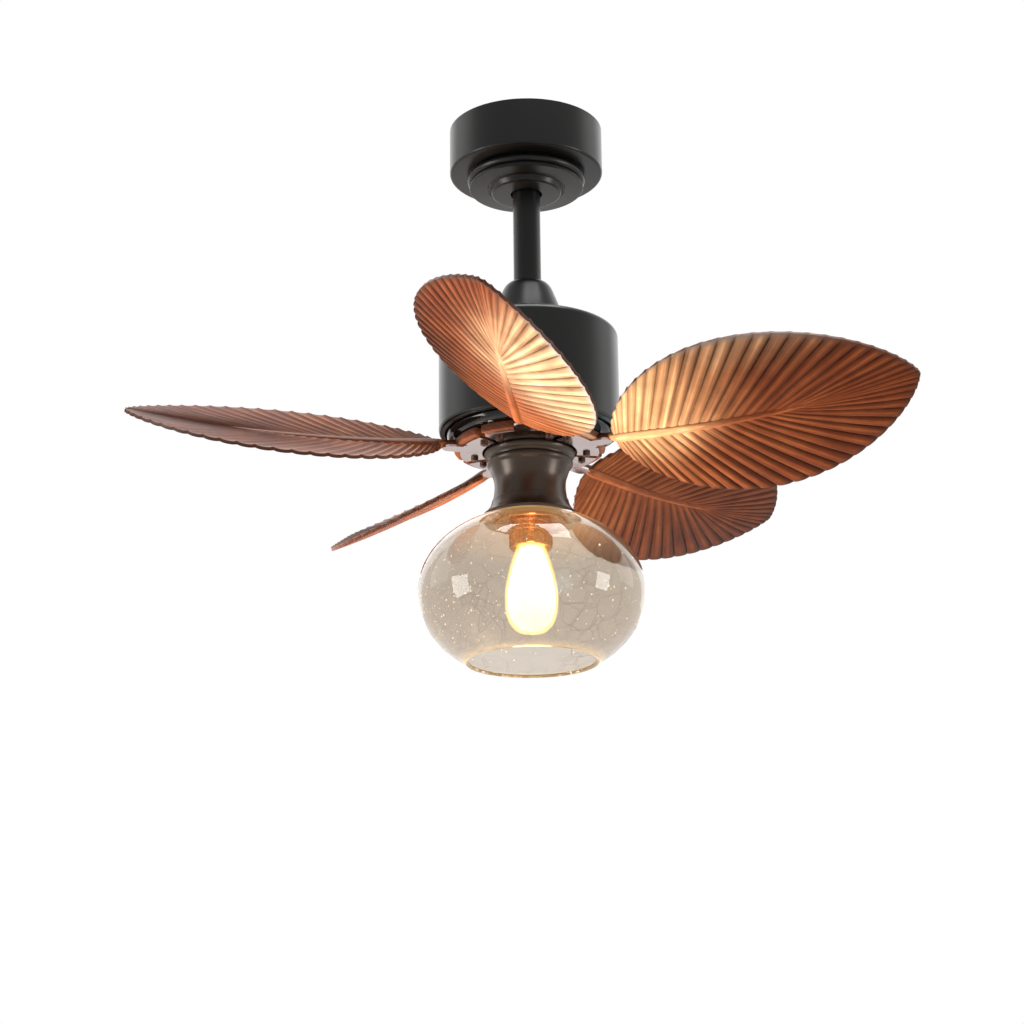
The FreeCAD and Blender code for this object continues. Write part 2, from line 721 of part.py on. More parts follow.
def stator():
    """Laminated core: a hub with T-shaped teeth, and a coil around each tooth."""
    top = size("stator_drop")
    bottom = top + size("stator_height")
    hub = upright("stator_hub", size("stator_hub_radius"), top, bottom)
    half_tooth = size("tooth_width") / 2
    half_shoe = size("shoe_width") / 2
    end = size("stator_radius")
    shoe_start = end - size("shoe_depth")
    tooth = join(
        "stator_tooth",
        block("tooth_bar", zero, shoe_start, -half_tooth, half_tooth, top, bottom),
        block("tooth_shoe", shoe_start, end, -half_shoe, half_shoe, top, bottom),
    )
    document.recompute()
    step = 360 / tooth_count
    teeth = shaped("stator_teeth", Part.makeCompound([
        about_axis(tooth.Shape, step * number) for number in range(tooth_count)
    ]))
    bore = upright("stator_bore", size("shaft_radius") + size("fit_gap"), top - overrun, bottom + overrun)
    merged = shaped("stator_merged", hub.Shape.multiFuse(teeth.Shape.Solids))
    keep(cut("stator_core", merged, bore), "stator_core")
    gap = size("coil_gap")
    wire = size("coil_width")
    over = size("coil_overhang")
    start = size("coil_start_radius")
    stop = size("coil_end_radius")
    inside = half_tooth + gap
    outside = inside + wire
    coil = cut(
        "coil",
        block("coil_body", start, stop, -outside, outside, top - gap - over, bottom + gap + over),
        block("coil_hollow", start - overrun, stop + overrun, -inside, inside, top - gap, bottom + gap),
    )
    document.recompute()
    coils = [about_axis(coil.Shape, step * number) for number in range(tooth_count)]
    keep(shaped("stator_windings", Part.makeCompound(coils)), "stator_windings")


def bearing(name, top):
    """Deep-groove ball bearing: inner ring, outer ring, and the balls in their cage."""
    bottom = top + size("bearing_width")
    middle = top + size("bearing_width") / 2
    pitch = size("bearing_pitch_radius")
    ball_radius = size("bearing_ball_radius")
    half_gap = size("race_gap") / 2
    race = ball_radius + size("fit_gap")
    groove_half = root_of(race * race - half_gap * half_gap)

    def ring(part_name, land, back, groove):
        """One ring of the bearing, from its back to the land that the ball groove runs in."""
        groove_top = point_at(land, middle - groove_half)
        groove_bottom = point_at(land, middle + groove_half)
        back_top = point_at(back, top)
        back_bottom = point_at(back, bottom)
        keep(spun(
            f"{part_name}_ring",
            straight(back_top, point_at(land, top)),
            straight(point_at(land, top), groove_top),
            arc_through(groove_top, point_at(groove, middle), groove_bottom),
            straight(groove_bottom, point_at(land, bottom)),
            straight(point_at(land, bottom), back_bottom),
            straight(back_bottom, back_top),
        ), part_name)

    ring(f"{name}_inner", pitch - half_gap, size("shaft_radius") + size("fit_gap") / 2, pitch - race)
    ring(f"{name}_outer", pitch + half_gap, size("bearing_radius"), pitch + race)
    half_cage = size("cage_wall") / 2
    half_height = size("cage_height") / 2
    cage = turned(
        f"{name}_cage",
        (pitch - half_cage, middle - half_height), (pitch + half_cage, middle - half_height),
        (pitch + half_cage, middle + half_height), (pitch - half_cage, middle + half_height),
    )
    document.recompute()
    centre = FreeCAD.Vector(pitch.value, 0, -middle.value)
    step = 360 / bearing_ball_count
    outwards = FreeCAD.Vector(1, 0, 0)
    sphere = Part.makeSphere(ball_radius.value, centre, outwards)
    pocket = Part.makeSphere((ball_radius + size("cage_gap")).value, centre, outwards)
    balls = [about_axis(sphere, step * number) for number in range(bearing_ball_count)]
    pockets = [about_axis(pocket, step * number) for number in range(bearing_ball_count)]
    group = Part.makeCompound([cage.Shape.cut(pockets).Solids[0]] + balls)
    keep(shaped(f"{name}_balls", group), f"{name}_balls")


def rotor():
    """Rotating case: upper shell with the magnets, lower bowl that carries the blades."""
    seat = size("bearing_radius") + size("fit_gap")
    lip = size("rotor_lip_radius")
    boss = size("rotor_boss_radius")
    outer = size("rotor_radius")
    inner = size("rotor_inner_radius")
    top = size("rotor_top_drop")
    plate = top + size("rotor_plate")
    split = size("rotor_split_drop")
    boss_bottom = plate + size("bearing_width") + overrun
    shell = turned(
        "rotor_shell",
        (lip, top), (outer, top), (outer, split), (inner, split), (inner, plate), (boss, plate),
        (boss, boss_bottom), (seat, boss_bottom), (seat, plate), (lip, plate),
    )
    ring = size("rotor_screw_ring")
    hub = size("hub_drop")
    head_seat = hub - size("screw_head_height")
    screw_end = head_seat - size("rotor_screw_length")
    shell_holes = hole_ring("shell_hole", screw_hole, ring, screw_end, split + overrun, rotor_angles)
    keep(cut("rotor_shell", shell, *shell_holes), "rotor_shell")
    rim = hub - size("bowl_depth")
    plate_top = hub - size("bowl_plate")
    bearing_top = size("lower_bearing_drop")
    bearing_floor = bearing_top + size("bearing_width")
    cover = turned(
        "rotor_cover",
        (lip, hub), (bowl_radius, hub, size("bowl_round")), (bowl_radius, rim), (outer, rim), (outer, split),
        (inner, split), (inner, plate_top), (boss, plate_top), (boss, bearing_top), (seat, bearing_top),
        (seat, bearing_floor), (lip, bearing_floor),
    )
    head_hole = size("screw_head_radius") + size("seat_gap")
    ring_holes = hole_ring("cover_hole", screw_hole, ring, split - overrun, hub + overrun, rotor_angles)
    head_holes = hole_ring("cover_head", head_hole, ring, head_seat, hub + overrun, rotor_angles)
    blade_holes = hole_ring(
        "cover_blade", screw_hole, size("blade_screw_ring"), plate_top - overrun, hub + overrun, screw_angles
    )
    keep(cut("rotor_cover", cover, *ring_holes, *head_holes, *blade_holes), "rotor_cover")
    screw_group("rotor_screws", ring, size("rotor_screw_length"), head_seat, True, rotor_angles)
    half_magnet = size("magnet_height") / 2
    middle = size("stator_drop") + size("stator_height") / 2
    magnet = cut(
        "magnet",
        upright("magnet_outside", inner - size("fit_gap"), middle - half_magnet, middle + half_magnet),
        upright("magnet_inside", inner - size("magnet_thickness"), middle - half_magnet - overrun,
                middle + half_magnet + overrun),
    )
    bind(document.getObject("magnet_outside"), Angle=size("magnet_angle"))
    document.recompute()
    step = 360 / magnet_count
    magnets = [about_axis(magnet.Shape, step * number) for number in range(magnet_count)]
    keep(shaped("rotor_magnets", Part.makeCompound(magnets)), "rotor_magnets")


bowl_radius = size("housing_radius") - size("housing_lip") - size("bowl_gap")
blade_angles = [size("first_blade_angle").value + 360 * number / blade_count for number in range(blade_count)]
screw_angles = [
    angle + side * size("blade_screw_angle").value for angle in blade_angles for side in (-1, 1)
]


def sector(name, inner, outer, top, bottom, angle):
    """A flat ring sector centred on +X."""
    disc = upright(f"{name}_disc", outer, top, bottom)
    bind(disc, Angle=angle)
    half = FreeCAD.Rotation(FreeCAD.Vector(0, 0, 1), -angle.value / 2)
    disc.Placement = FreeCAD.Placement(FreeCAD.Vector(), half)
    bind(disc, z=-bottom)
    hole = upright(f"{name}_hole", inner, top - overrun, bottom + overrun)
    return cut(name, disc, hole)


def blade_irons():
    """Flat metal plate under each blade root, with a tongue along the stem."""
    top = size("hub_drop") + size("root_thickness")
    bottom = top + size("iron_thickness")
    half_tongue = size("tongue_width") / 2
    plate = sector(
        "iron_plate", size("iron_inner_radius"), size("iron_outer_radius"), top, bottom, size("iron_angle")
    )
    middle = (size("iron_inner_radius") + size("iron_outer_radius")) / 2
    tip = size("tongue_radius") - half_tongue
    tongue = block("iron_tongue", middle, tip, -half_tongue, half_tongue, top, bottom)
    tongue_end = upright("iron_tongue_end", half_tongue, top, bottom, tip)
    side = size("blade_screw_angle").value
    holes = hole_ring(
        "iron_hole", screw_hole, size("blade_screw_ring"), top - overrun, bottom + overrun, (-side, side)
    )
    rivet = hole_ring(
        "iron_rivet", size("rivet_radius"), size("rivet_ring"), top - overrun, bottom + overrun,
        [size("rivet_angle").value]
    )
    iron = cut("blade_iron", join("blade_iron", plate, tongue, tongue_end), *holes, *rivet)
    document.recompute()
    for number, angle in enumerate(blade_angles, start=1):
        keep(shaped(f"iron_{number}", about_axis(iron.Shape, angle)), f"blade_iron_{number}")


# Shares of the leaf: exponents of its outline, how far the midrib runs, and how the pleats crowd at the base
leaf_base_share = 0.61
leaf_tip_share = 0.73
rib_length_share = 0.62
pleat_lean_share = 1.15
first_fold_share = 0.06
last_fold_share = 0.965
pleat_full_share = 0.3


def leaf_half_width(along):
    """Half width of the leaf at a share of its length: round base, widest before the middle, round tip."""
    widest = leaf_base_share / (leaf_base_share + leaf_tip_share)
    peak = widest ** leaf_base_share * (1 - widest) ** leaf_tip_share
    shape = max(along, 0) ** leaf_base_share * max(1 - along, 0) ** leaf_tip_share
    return size("leaf_half_width").value * shape / peak


def leaf_point(along, across, lift):
    """A point of the leaf on +X: share of its length, distance from the midrib, height off the sheet."""
    root = size("leaf_root_radius").value
    tip = size("leaf_tip_radius").value
    root_drop = size("leaf_root_drop").value
    tip_drop = size("leaf_tip_drop").value
    pitch = math.radians(size("leaf_pitch").value)
    sideways = FreeCAD.Vector(0, math.cos(pitch), -math.sin(pitch))
    upwards = FreeCAD.Vector(0, math.sin(pitch), math.cos(pitch))
    sag = size("leaf_sag").value * 4 * along * (1 - along)
    spine = FreeCAD.Vector(root + (tip - root) * along, 0, -root_drop - (tip_drop - root_drop) * along - sag)
    cup = size("leaf_cup").value * (across / size("leaf_half_width").value) ** 2
    return spine + sideways * across + upwards * (cup + lift)


def leaf_shape():
    """Pleated leaf: fold lines run from the midrib to the edge, and lean towards the tip."""
    thick = size("leaf_thickness").value / 2
    edge_thick = size("leaf_edge_thickness").value / 2
    fold = size("pleat_depth").value / 2
    rib_root = size("rib_half_width").value
    rib_tip = size("rib_tip_half_width").value
    rib_height = size("rib_height").value
    lines = 2 * pleats_per_side
    points = []
    places = {}

    def place(point):
        key = (round(point.x, 3), round(point.y, 3), round(point.z, 3))
        if key not in places:
            places[key] = len(points)
            points.append(point)
        return places[key]

    def row(line, face):
        """One fold line on both sides of the midrib, on the upper (1) or lower (-1) face."""
        reach = last_fold_share - first_fold_share
        share = first_fold_share + reach * line / (lines - 1) if line < lines else 1
        edge_along = (1 - math.cos(math.pi * share)) / 2
        start_along = rib_length_share * edge_along ** pleat_lean_share
        rib = rib_root + (rib_tip - rib_root) * edge_along
        ridge = fold if line % 2 else -fold
        if line in (0, lines):
            ridge = 0
        width = leaf_half_width(edge_along)
        crest = face * (thick + rib_height * (1 - edge_along))
        columns = {0: place(leaf_point(start_along, 0, crest))}
        for side in (-1, 1):
            # Pleats reach their full depth a little way out from the midrib
            full_along = start_along + (edge_along - start_along) * pleat_full_share
            full_width = rib + max(width - rib, 0) * pleat_full_share if line < lines else rib / 2
            edge_width = width if line == lines else max(width, rib)
            full_lift = face * (thick + (edge_thick - thick) * pleat_full_share) + ridge
            edge_lift = face * edge_thick + ridge
            columns[side] = place(leaf_point(start_along, side * rib, face * thick))
            columns[2 * side] = place(leaf_point(full_along, side * full_width, full_lift))
            columns[3 * side] = place(leaf_point(edge_along, side * edge_width, edge_lift))
        return columns

    upper = [row(line, 1) for line in range(lines + 1)]
    lower = [row(line, -1) for line in range(lines + 1)]
    triangles = []

    def quad(first, second, third, fourth):
        for corners in ((first, second, third), (first, third, fourth)):
            if len(set(corners)) == len(corners):
                triangles.append(corners)

    steps = [(-3, -2), (-2, -1), (-1, 0), (0, 1), (1, 2), (2, 3)]
    for near, far in zip(range(lines), range(1, lines + 1)):
        for left, right in steps:
            quad(upper[near][left], upper[far][left], upper[far][right], upper[near][right])
            quad(lower[near][left], lower[near][right], lower[far][right], lower[far][left])
        quad(upper[near][-3], lower[near][-3], lower[far][-3], upper[far][-3])
        quad(upper[near][3], upper[far][3], lower[far][3], lower[near][3])
    # Close the sheet past the last fold, where both sides meet at the tip, and at the root
    last_up = upper[lines]
    last_down = lower[lines]
    quad(last_up[-1], last_up[-2], last_up[2], last_up[1])
    quad(last_up[-1], last_up[1], last_up[0], last_up[0])
    quad(last_up[-2], last_up[-3], last_up[2], last_up[2])
    quad(last_down[-1], last_down[1], last_down[2], last_down[-2])
    quad(last_down[-1], last_down[0], last_down[1], last_down[1])
    quad(last_down[-2], last_down[2], last_down[-3], last_down[-3])
    for left, right in steps:
        quad(upper[0][left], upper[0][right], lower[0][right], lower[0][left])
    sheet_shape = Part.Shape()
    sheet_shape.makeShapeFromMesh((points, triangles), size("fit_gap").value / 10)
    solid = Part.Solid(sheet_shape.Shells[0])
    if solid.Volume < 0:
        solid.reverse()
    return solid


def blades():
    """Leaf, round stem and flat root of each blade, as one piece."""
    top = size("hub_drop")
    bottom = top + size("root_thickness")
    root = sector(
        "blade_root", size("root_inner_radius"), size("root_outer_radius"), top, bottom, size("root_angle")
    )
    side = size("blade_screw_angle").value
    holes = hole_ring(
        "blade_hole", screw_hole, size("blade_screw_ring"), top - overrun, bottom + overrun, (-side, side)
    )
    drilled = cut("blade_root_drilled", root, *holes)
    document.recompute()
    leaf = leaf_shape()
    stem_radius = size("stem_radius").value
    stem_end = leaf_point(0, 0, 0) + (leaf_point(rib_length_share, 0, 0) - leaf_point(0, 0, 0)) / 20
    stem_start = FreeCAD.Vector(size("stem_start_radius").value, 0, -(top.value + bottom.value) / 2)
    reach = stem_end - stem_start
    rib_radius = size("rib_half_width").value
    stem = Part.makeCone(stem_radius, rib_radius, reach.Length, stem_start, reach)
    under = Part.makeCylinder(
        size("tongue_radius").value + size("seat_gap").value, size("root_outer_radius").value,
        FreeCAD.Vector(0, 0, -bottom.value - size("root_outer_radius").value)
    )
    over = Part.makeCylinder(
        bowl_radius.value + size("seat_gap").value, size("root_outer_radius").value,
        FreeCAD.Vector(0, 0, -top.value)
    )
    blade = drilled.Shape.fuse([stem.cut(under).cut(over), leaf]).removeSplitter()
    blade = blade if blade.ShapeType == "Solid" else blade.Solids[0]
    for number, angle in enumerate(blade_angles, start=1):
        keep(shaped(f"leaf_{number}", about_axis(blade, angle)), f"blade_{number}")
    seat = bottom + size("iron_thickness")
    screw_group("blade_screws", size("blade_screw_ring"), size("blade_screw_length"), seat, True, screw_angles)


# Share of the way from the beads to the flare where the neck is narrowest
waist_share = 0.38


def light_neck():
    """Turned neck: two beads, a waist and a flare that the globe hangs under."""
    top = size("neck_top_drop").value
    plate = size("neck_plate").value
    wall = size("neck_wall").value
    bore = (size("shaft_radius") + size("fit_gap")).value
    bead_end = top + size("bead_height").value
    second_end = bead_end + size("second_bead_height").value
    groove = size("groove_radius").value
    waist = size("waist_radius").value
    flare = size("flare_radius").value
    flare_drop = size("flare_drop").value
    waist_drop = second_end + (flare_drop - second_end) * waist_share
    low_share = 0.55
    low_drop = waist_drop + (flare_drop - waist_drop) * low_share
    low_radius = waist + (flare - waist) * low_share ** 3
    second_end_radius = groove - wall / 2
    start = point_at(size("neck_top_radius"), top)
    first_end = point_at(groove, bead_end)
    bead_top = point_at(size("bead_radius"), (top + bead_end) / 2)
    second_top = point_at(size("second_bead_radius"), (bead_end + second_end) / 2)
    second_low = point_at(second_end_radius, second_end)
    rim = point_at(flare, flare_drop)
    inner_rim = point_at(flare - wall, flare_drop)
    inner_second = point_at(second_end_radius - wall, second_end)
    inner_top = point_at(second_end_radius - wall, top + plate)
    neck = spun(
        "light_neck",
        straight(point_at(bore, top), start),
        arc_through(start, bead_top, first_end),
        arc_through(first_end, second_top, second_low),
        smooth(second_low, point_at(waist, waist_drop), point_at(low_radius, low_drop), rim),
        straight(rim, inner_rim),
        smooth(inner_rim, point_at(low_radius - wall, low_drop), point_at(waist - wall, waist_drop), inner_second),
        straight(inner_second, inner_top),
        straight(inner_top, point_at(bore, top + plate)),
        straight(point_at(bore, top + plate), point_at(bore, top)),
    )
    keep(neck, "light_neck")
    nut_top = size("neck_top_drop") + size("neck_plate")
    prism = document.addObject("Part::Prism", "nut_prism")
    prism.Polygon = 6
    bind(prism, Circumradius=size("nut_radius"), Height=size("nut_height"), z=-nut_top - size("nut_height"))
    nut_bore = size("shaft_radius") + size("thread_gap")
    hole = upright("nut_bore", nut_bore, nut_top - overrun, nut_top + size("nut_height") + overrun)
    keep(cut("shaft_nut", prism, hole), "shaft_nut")


def lamp_holder():
    nipple = size("nipple_radius")
    nipple_bore = size("nipple_bore_radius")
    top = size("holder_top_drop")
    plate = top + size("holder_plate")
    bottom = size("holder_bottom_drop")
    radius = size("holder_radius")
    bore = size("holder_bore_radius")
    nipple_hole = nipple + size("thread_gap")
    tube = turned(
        "lamp_nipple",
        (nipple_bore, size("nipple_top_drop")), (nipple, size("nipple_top_drop")),
        (nipple, plate), (nipple_bore, plate),
    )
    keep(tube, "lamp_nipple")
    holder = turned(
        "lampholder",
        (nipple_hole, top), (radius, top), (radius, bottom, size("holder_round")), (bore, bottom),
        (bore, plate), (nipple_hole, plate),
    )
    keep(holder, "lampholder")
    shell_outer = bore - size("thread_gap")
    shell_inner = shell_outer - size("socket_wall")
    shell_top = plate + size("contact_height")
    shell_bottom = bottom - size("socket_margin")
    shell = turned(
        "socket_shell",
        (shell_inner, shell_top), (shell_outer, shell_top), (shell_outer, shell_bottom),
        (shell_inner, shell_bottom),
    )
    keep(shell, "socket_shell")
    contact = upright("contact_disc", size("contact_radius"), plate, shell_top)
    keep(contact, "centre_contact")


def ellipse_edge(radius, half_height, top_radius, bottom_radius):
    """The side of the globe between two radii: one above its middle, one below."""
    drop = size("globe_drop").value
    curve = Part.Ellipse(
        FreeCAD.Vector(radius, 0, -drop), FreeCAD.Vector(0, 0, half_height - drop), FreeCAD.Vector(0, 0, -drop)
    )
    upper = math.sqrt(1 - (top_radius / radius) ** 2) * half_height
    lower = math.sqrt(1 - (bottom_radius / radius) ** 2) * half_height
    start = curve.parameter(FreeCAD.Vector(top_radius, 0, upper - drop))
    end = curve.parameter(FreeCAD.Vector(bottom_radius, 0, -lower - drop))
    turn = 2 * math.pi
    if start > end:
        start, end = end, start
    if end - start > math.pi:
        start, end = end - turn, start
    edge = Part.ArcOfEllipse(curve, start, end).toShape()
    return edge, point_at(top_radius, drop - upper), point_at(bottom_radius, drop + lower)


def globe():
    """Blown globe in two halves, hung from its top hole and open below with a rolled lip."""
    radius = size("globe_radius").value
    half_height = size("globe_half_height").value
    wall = size("globe_wall").value
    hole = size("globe_top_hole_radius").value
    mouth = size("globe_mouth_radius").value
    outer, outer_top, outer_belt = ellipse_edge(radius, half_height, hole, radius)
    inner, inner_top, inner_belt = ellipse_edge(radius - wall, half_height - wall, hole, radius - wall)
    crown = spun("globe_crown", outer, straight(outer_top, inner_top), inner, straight(outer_belt, inner_belt))
    keep(crown, "glass_crown")
    # The half under the widest line, down to the rolled lip
    outer, outer_belt, outer_mouth = ellipse_edge(radius, half_height, radius, mouth)
    inner, inner_belt, inner_mouth = ellipse_edge(radius - wall, half_height - wall, radius - wall, mouth)
    bowl = spun("globe_bowl", outer, straight(outer_belt, inner_belt), inner, straight(outer_mouth, inner_mouth))
    lip_radius = size("globe_lip_radius").value
    lip_middle = (outer_mouth + inner_mouth) / 2
    lip = Part.makeTorus(mouth, lip_radius, FreeCAD.Vector(0, 0, lip_middle.z))
    keep(shaped("globe_lipped", bowl.Shape.fuse(lip)), "glass_bowl")
    # The seal follows the top of the globe, and the neck rests on it
    seal_outer = size("gasket_radius").value
    seal_inner = seal_outer - size("gasket_width").value
    top = size("flare_drop").value
    gap = size("fit_gap").value

    def glass_top(at):
        return size("globe_drop").value - half_height * math.sqrt(1 - (at / radius) ** 2) - gap

    corners = [
        point_at(seal_inner, top), point_at(seal_outer, top), point_at(seal_outer, glass_top(seal_outer)),
        point_at(seal_inner, glass_top(seal_inner)),
    ]
    sides = [straight(corners[number], corners[(number + 1) % 4]) for number in range(4)]
    keep(spun("gasket_ring", *sides), "shade_gasket")


def shade_ring():
    """Clamp cup under the top of the globe, screwed on the lamp holder."""
    radius = size("ring_radius")
    inner_radius = size("globe_radius") - size("globe_wall")
    inner_height = size("globe_half_height") - size("globe_wall")
    share = root_of(as_size(1) - radius / inner_radius * radius / inner_radius)
    top = size("globe_drop") - inner_height * share + size("seat_gap")
    bore = size("holder_radius") + size("thread_gap")
    bottom = top + size("ring_depth")
    plate = bottom - size("ring_plate")
    rim = radius - size("ring_rim")
    cup = turned(
        "shade_ring",
        (rim, top), (radius, top), (radius, bottom, size("ring_rim") / 2), (bore, bottom), (bore, plate),
        (rim, plate),
    )
    keep(cup, "shade_ring")


# Shares of the bulb: width against its radius, depth between the cap and the lowest point
bulb_shares = [(0.62, 0.22), (0.8, 0.36), (0.96, 0.54), (1, 0.7), (0.9, 0.86), (0.56, 0.968)]


def lamp():
    """Bulb with its screw cap and filaments."""
    radius = size("cap_radius")
    cap_top = size("cap_top_drop")
    cap_bottom = size("cap_bottom_drop")
    tip_top = size("holder_top_drop") + size("holder_plate") + size("contact_height") + size("seat_gap")
    tip = size("cap_tip_radius")
    stem = size("stem_glass_radius")
    cap = turned(
        "bulb_cap",
        (zero, tip_top), (tip, tip_top), (tip, cap_top), (radius, cap_top), (radius, cap_bottom),
        (zero, cap_bottom),
    )
    keep(cap, "bulb_cap")
    neck = size("bulb_neck_radius").value
    wide = size("bulb_radius").value
    top = cap_bottom.value
    bottom = size("bulb_bottom_drop").value
    wall = size("bulb_wall").value
    neck_end = size("holder_bottom_drop").value - size("socket_margin").value

    def side(inset):
        points = [point_at(neck - inset, top), point_at(neck - inset, neck_end)]
        for across, down in bulb_shares:
            points.append(point_at(wide * across - inset, top + (bottom - top) * down - inset * down))
        return points + [point_at(0, bottom - inset)]

    outer = side(0)
    inner = side(wall)
    glass = spun(
        "bulb_envelope", straight(outer[0], outer[1]), smooth(*outer[1:]), straight(outer[-1], inner[-1]),
        smooth(*inner[1:]), straight(inner[0], inner[1]), straight(inner[0], outer[0])
    )
    keep(glass, "bulb_glass")
    stem_bottom = size("stem_bottom_drop")
    disc = size("filament_disc")
    disc_radius = size("filament_ring") + size("filament_radius") * 2
    low = size("filament_bottom_drop")
    pieces = [
        upright("stem_bar", stem, cap_bottom, stem_bottom),
        upright("stem_disc", disc_radius, stem_bottom - disc, stem_bottom),
        upright("filament_foot", disc_radius, low - disc, low),
    ]
    angles = [360 * number / filament_count for number in range(filament_count)]
    pieces += hole_ring(
        "filament", size("filament_radius"), size("filament_ring"), stem_bottom - disc, low, angles
    )
    keep(join("bulb_filament", *pieces), "bulb_filament")


def write_parts():
    """Check every object, then write each sub-part to its own file."""
    document.recompute()
    for thing in document.Objects:
        if "Invalid" in thing.State or "Error" in thing.State:
            raise RuntimeError(f"{thing.Name} failed: {thing.State}")
    for part in parts:
        if part.Shape.isNull() or not part.Shape.isValid() or not part.Shape.Solids:
            raise RuntimeError(f"{part.Label} has no valid solid")
    os.makedirs("parts", exist_ok=True)
    for part in parts:
        part.Shape.exportStep(f"parts/{part.Label}.step")
        print(part.Label, len(part.Shape.Solids), round(part.Shape.Volume))


hanger_bracket()
seat_liner()
canopy()
canopy_cover()
receiver_and_terminals()
ball_and_rod()
yoke_and_pins()
coupling_cover()
motor_housing()
shaft_and_lead()
stator()
bearing("upper_bearing", size("rotor_top_drop") + size("rotor_plate"))
bearing("lower_bearing", size("lower_bearing_drop"))
rotor()
blade_irons()
blades()
light_neck()
lamp_holder()
shade_ring()
globe()
lamp()
write_parts()
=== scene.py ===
import json
import math
import random

import bpy
from mathutils import Euler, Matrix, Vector


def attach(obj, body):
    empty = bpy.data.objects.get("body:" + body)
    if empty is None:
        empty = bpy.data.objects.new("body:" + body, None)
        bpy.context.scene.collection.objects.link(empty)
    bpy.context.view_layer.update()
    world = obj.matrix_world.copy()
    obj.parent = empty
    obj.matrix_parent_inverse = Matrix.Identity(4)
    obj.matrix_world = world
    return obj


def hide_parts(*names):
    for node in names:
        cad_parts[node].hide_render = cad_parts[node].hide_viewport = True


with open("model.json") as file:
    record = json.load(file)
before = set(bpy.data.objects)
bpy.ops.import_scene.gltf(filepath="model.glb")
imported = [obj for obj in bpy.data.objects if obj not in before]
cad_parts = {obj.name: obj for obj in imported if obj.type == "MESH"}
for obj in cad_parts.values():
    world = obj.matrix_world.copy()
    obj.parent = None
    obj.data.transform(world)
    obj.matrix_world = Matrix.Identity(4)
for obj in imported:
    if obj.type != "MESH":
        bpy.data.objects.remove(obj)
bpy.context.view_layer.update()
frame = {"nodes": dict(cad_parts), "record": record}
print("frame loaded:", len(frame["nodes"]), "nodes")


# a node's output that can be added, taken away and multiplied
class Wire:
    def __init__(self, web, socket):
        self.web = web
        self.socket = socket

    def calc(self, operation, first, second):
        return self.web.node("ShaderNodeMath", {"operation": operation}, {0: first, 1: second})

    def __add__(self, other):
        return self.calc("ADD", self, other)

    def __radd__(self, other):
        return self.calc("ADD", other, self)

    def __sub__(self, other):
        return self.calc("SUBTRACT", self, other)

    def __rsub__(self, other):
        return self.calc("SUBTRACT", other, self)

    def __mul__(self, other):
        return self.calc("MULTIPLY", self, other)

    def __rmul__(self, other):
        return self.calc("MULTIPLY", other, self)

    def orElse(self, other):
        return self.calc("MAXIMUM", self, other)


# a tree of nodes, of a finish or of the world
class Web:
    def __init__(self, tree):
        self.tree = tree

    def node(self, kind, settings=None, sockets=None, output=0):
        made = self.tree.nodes.new(kind)
        for key, value in (settings or {}).items():
            if key == "stops":
                self.setStops(made.color_ramp.elements, value)
            else:
                setattr(made, key, value)
        for key, value in (sockets or {}).items():
            self.feed(made.inputs[key], value)
        return Wire(self, made.outputs[output]) if made.outputs else None

    def setStops(self, elements, stops):
        while len(elements) < len(stops):
            elements.new(0.5)
        for element, (place, colour) in zip(elements, stops):
            element.position = place
            element.color = (*colour, 1)

    def feed(self, socket, value):
        if isinstance(value, Wire):
            self.tree.links.new(value.socket, socket)
        elif socket.type == "RGBA" and len(value) == 3:
            socket.default_value = (*value, 1)
        else:
            socket.default_value = value


class Finish(Web):
    def __init__(self, name, plain):
        self.mat = bpy.data.materials.new(name)
        self.mat.use_nodes = True
        super().__init__(self.mat.node_tree)
        self.shader = self.tree.nodes["Principled BSDF"]
        for socket, value in plain.items():
            self.link(socket, value)

    def link(self, socket, value):
        self.feed(self.shader.inputs[socket], value)

    def place(self):
        return self.node("ShaderNodeTexCoord", output="Object")

    def mark(self, name):
        return self.node("ShaderNodeAttribute", {"attribute_name": name}, output="Fac")

    def noise(self, where, scale, detail=4.0, stretch=(1, 1, 1), rough=0.55):
        mapped = self.node("ShaderNodeMapping", {}, {"Vector": where, "Scale": stretch})
        return self.node("ShaderNodeTexNoise", {},
                         {"Vector": mapped, "Scale": scale, "Detail": detail, "Roughness": rough})

    def mix(self, factor, first, second, blend="MIX"):
        # a Mix node's colours are its sockets 6 and 7 and its output 2
        return self.node("ShaderNodeMix", {"data_type": "RGBA", "blend_type": blend},
                         {0: factor, 6: first, 7: second}, output=2)

    def ramp(self, value, stops):
        return self.node("ShaderNodeValToRGB", {"stops": stops}, {"Fac": value})

    def spread(self, value, low, high, toLow=0.0, toHigh=1.0):
        return self.node("ShaderNodeMapRange", {}, {0: value, 1: low, 2: high, 3: toLow, 4: toHigh})

    def heightShare(self, where, low, high):
        height = self.node("ShaderNodeSeparateXYZ", {}, {0: where}, output=2)
        return self.spread(height, low, high)

    def bump(self, height, strength, distance):
        made = self.node("ShaderNodeBump", {}, {"Strength": strength, "Distance": distance, "Height": height})
        self.link("Normal", made)


def clouded(name, look):
    # colour that drifts a little, uneven gloss and a fine grain
    finish = Finish(name, look.get("plain", {}))
    where = finish.place()
    stretch = look.get("stretch", (1, 1, 1))
    drift = finish.noise(where, look["drift"], 3.0, stretch)
    grain = finish.noise(where, look["grain"], 5.0, stretch)
    uneven = (grain - 0.5) * look["roughSpread"] + (drift - 0.5) * look["roughSpread"]
    finish.link("Base Color", finish.mix(drift, look["dark"], look["light"]))
    finish.link("Roughness", look["rough"] + uneven)
    finish.bump(grain, look["bump"], look["depth"])
    return finish


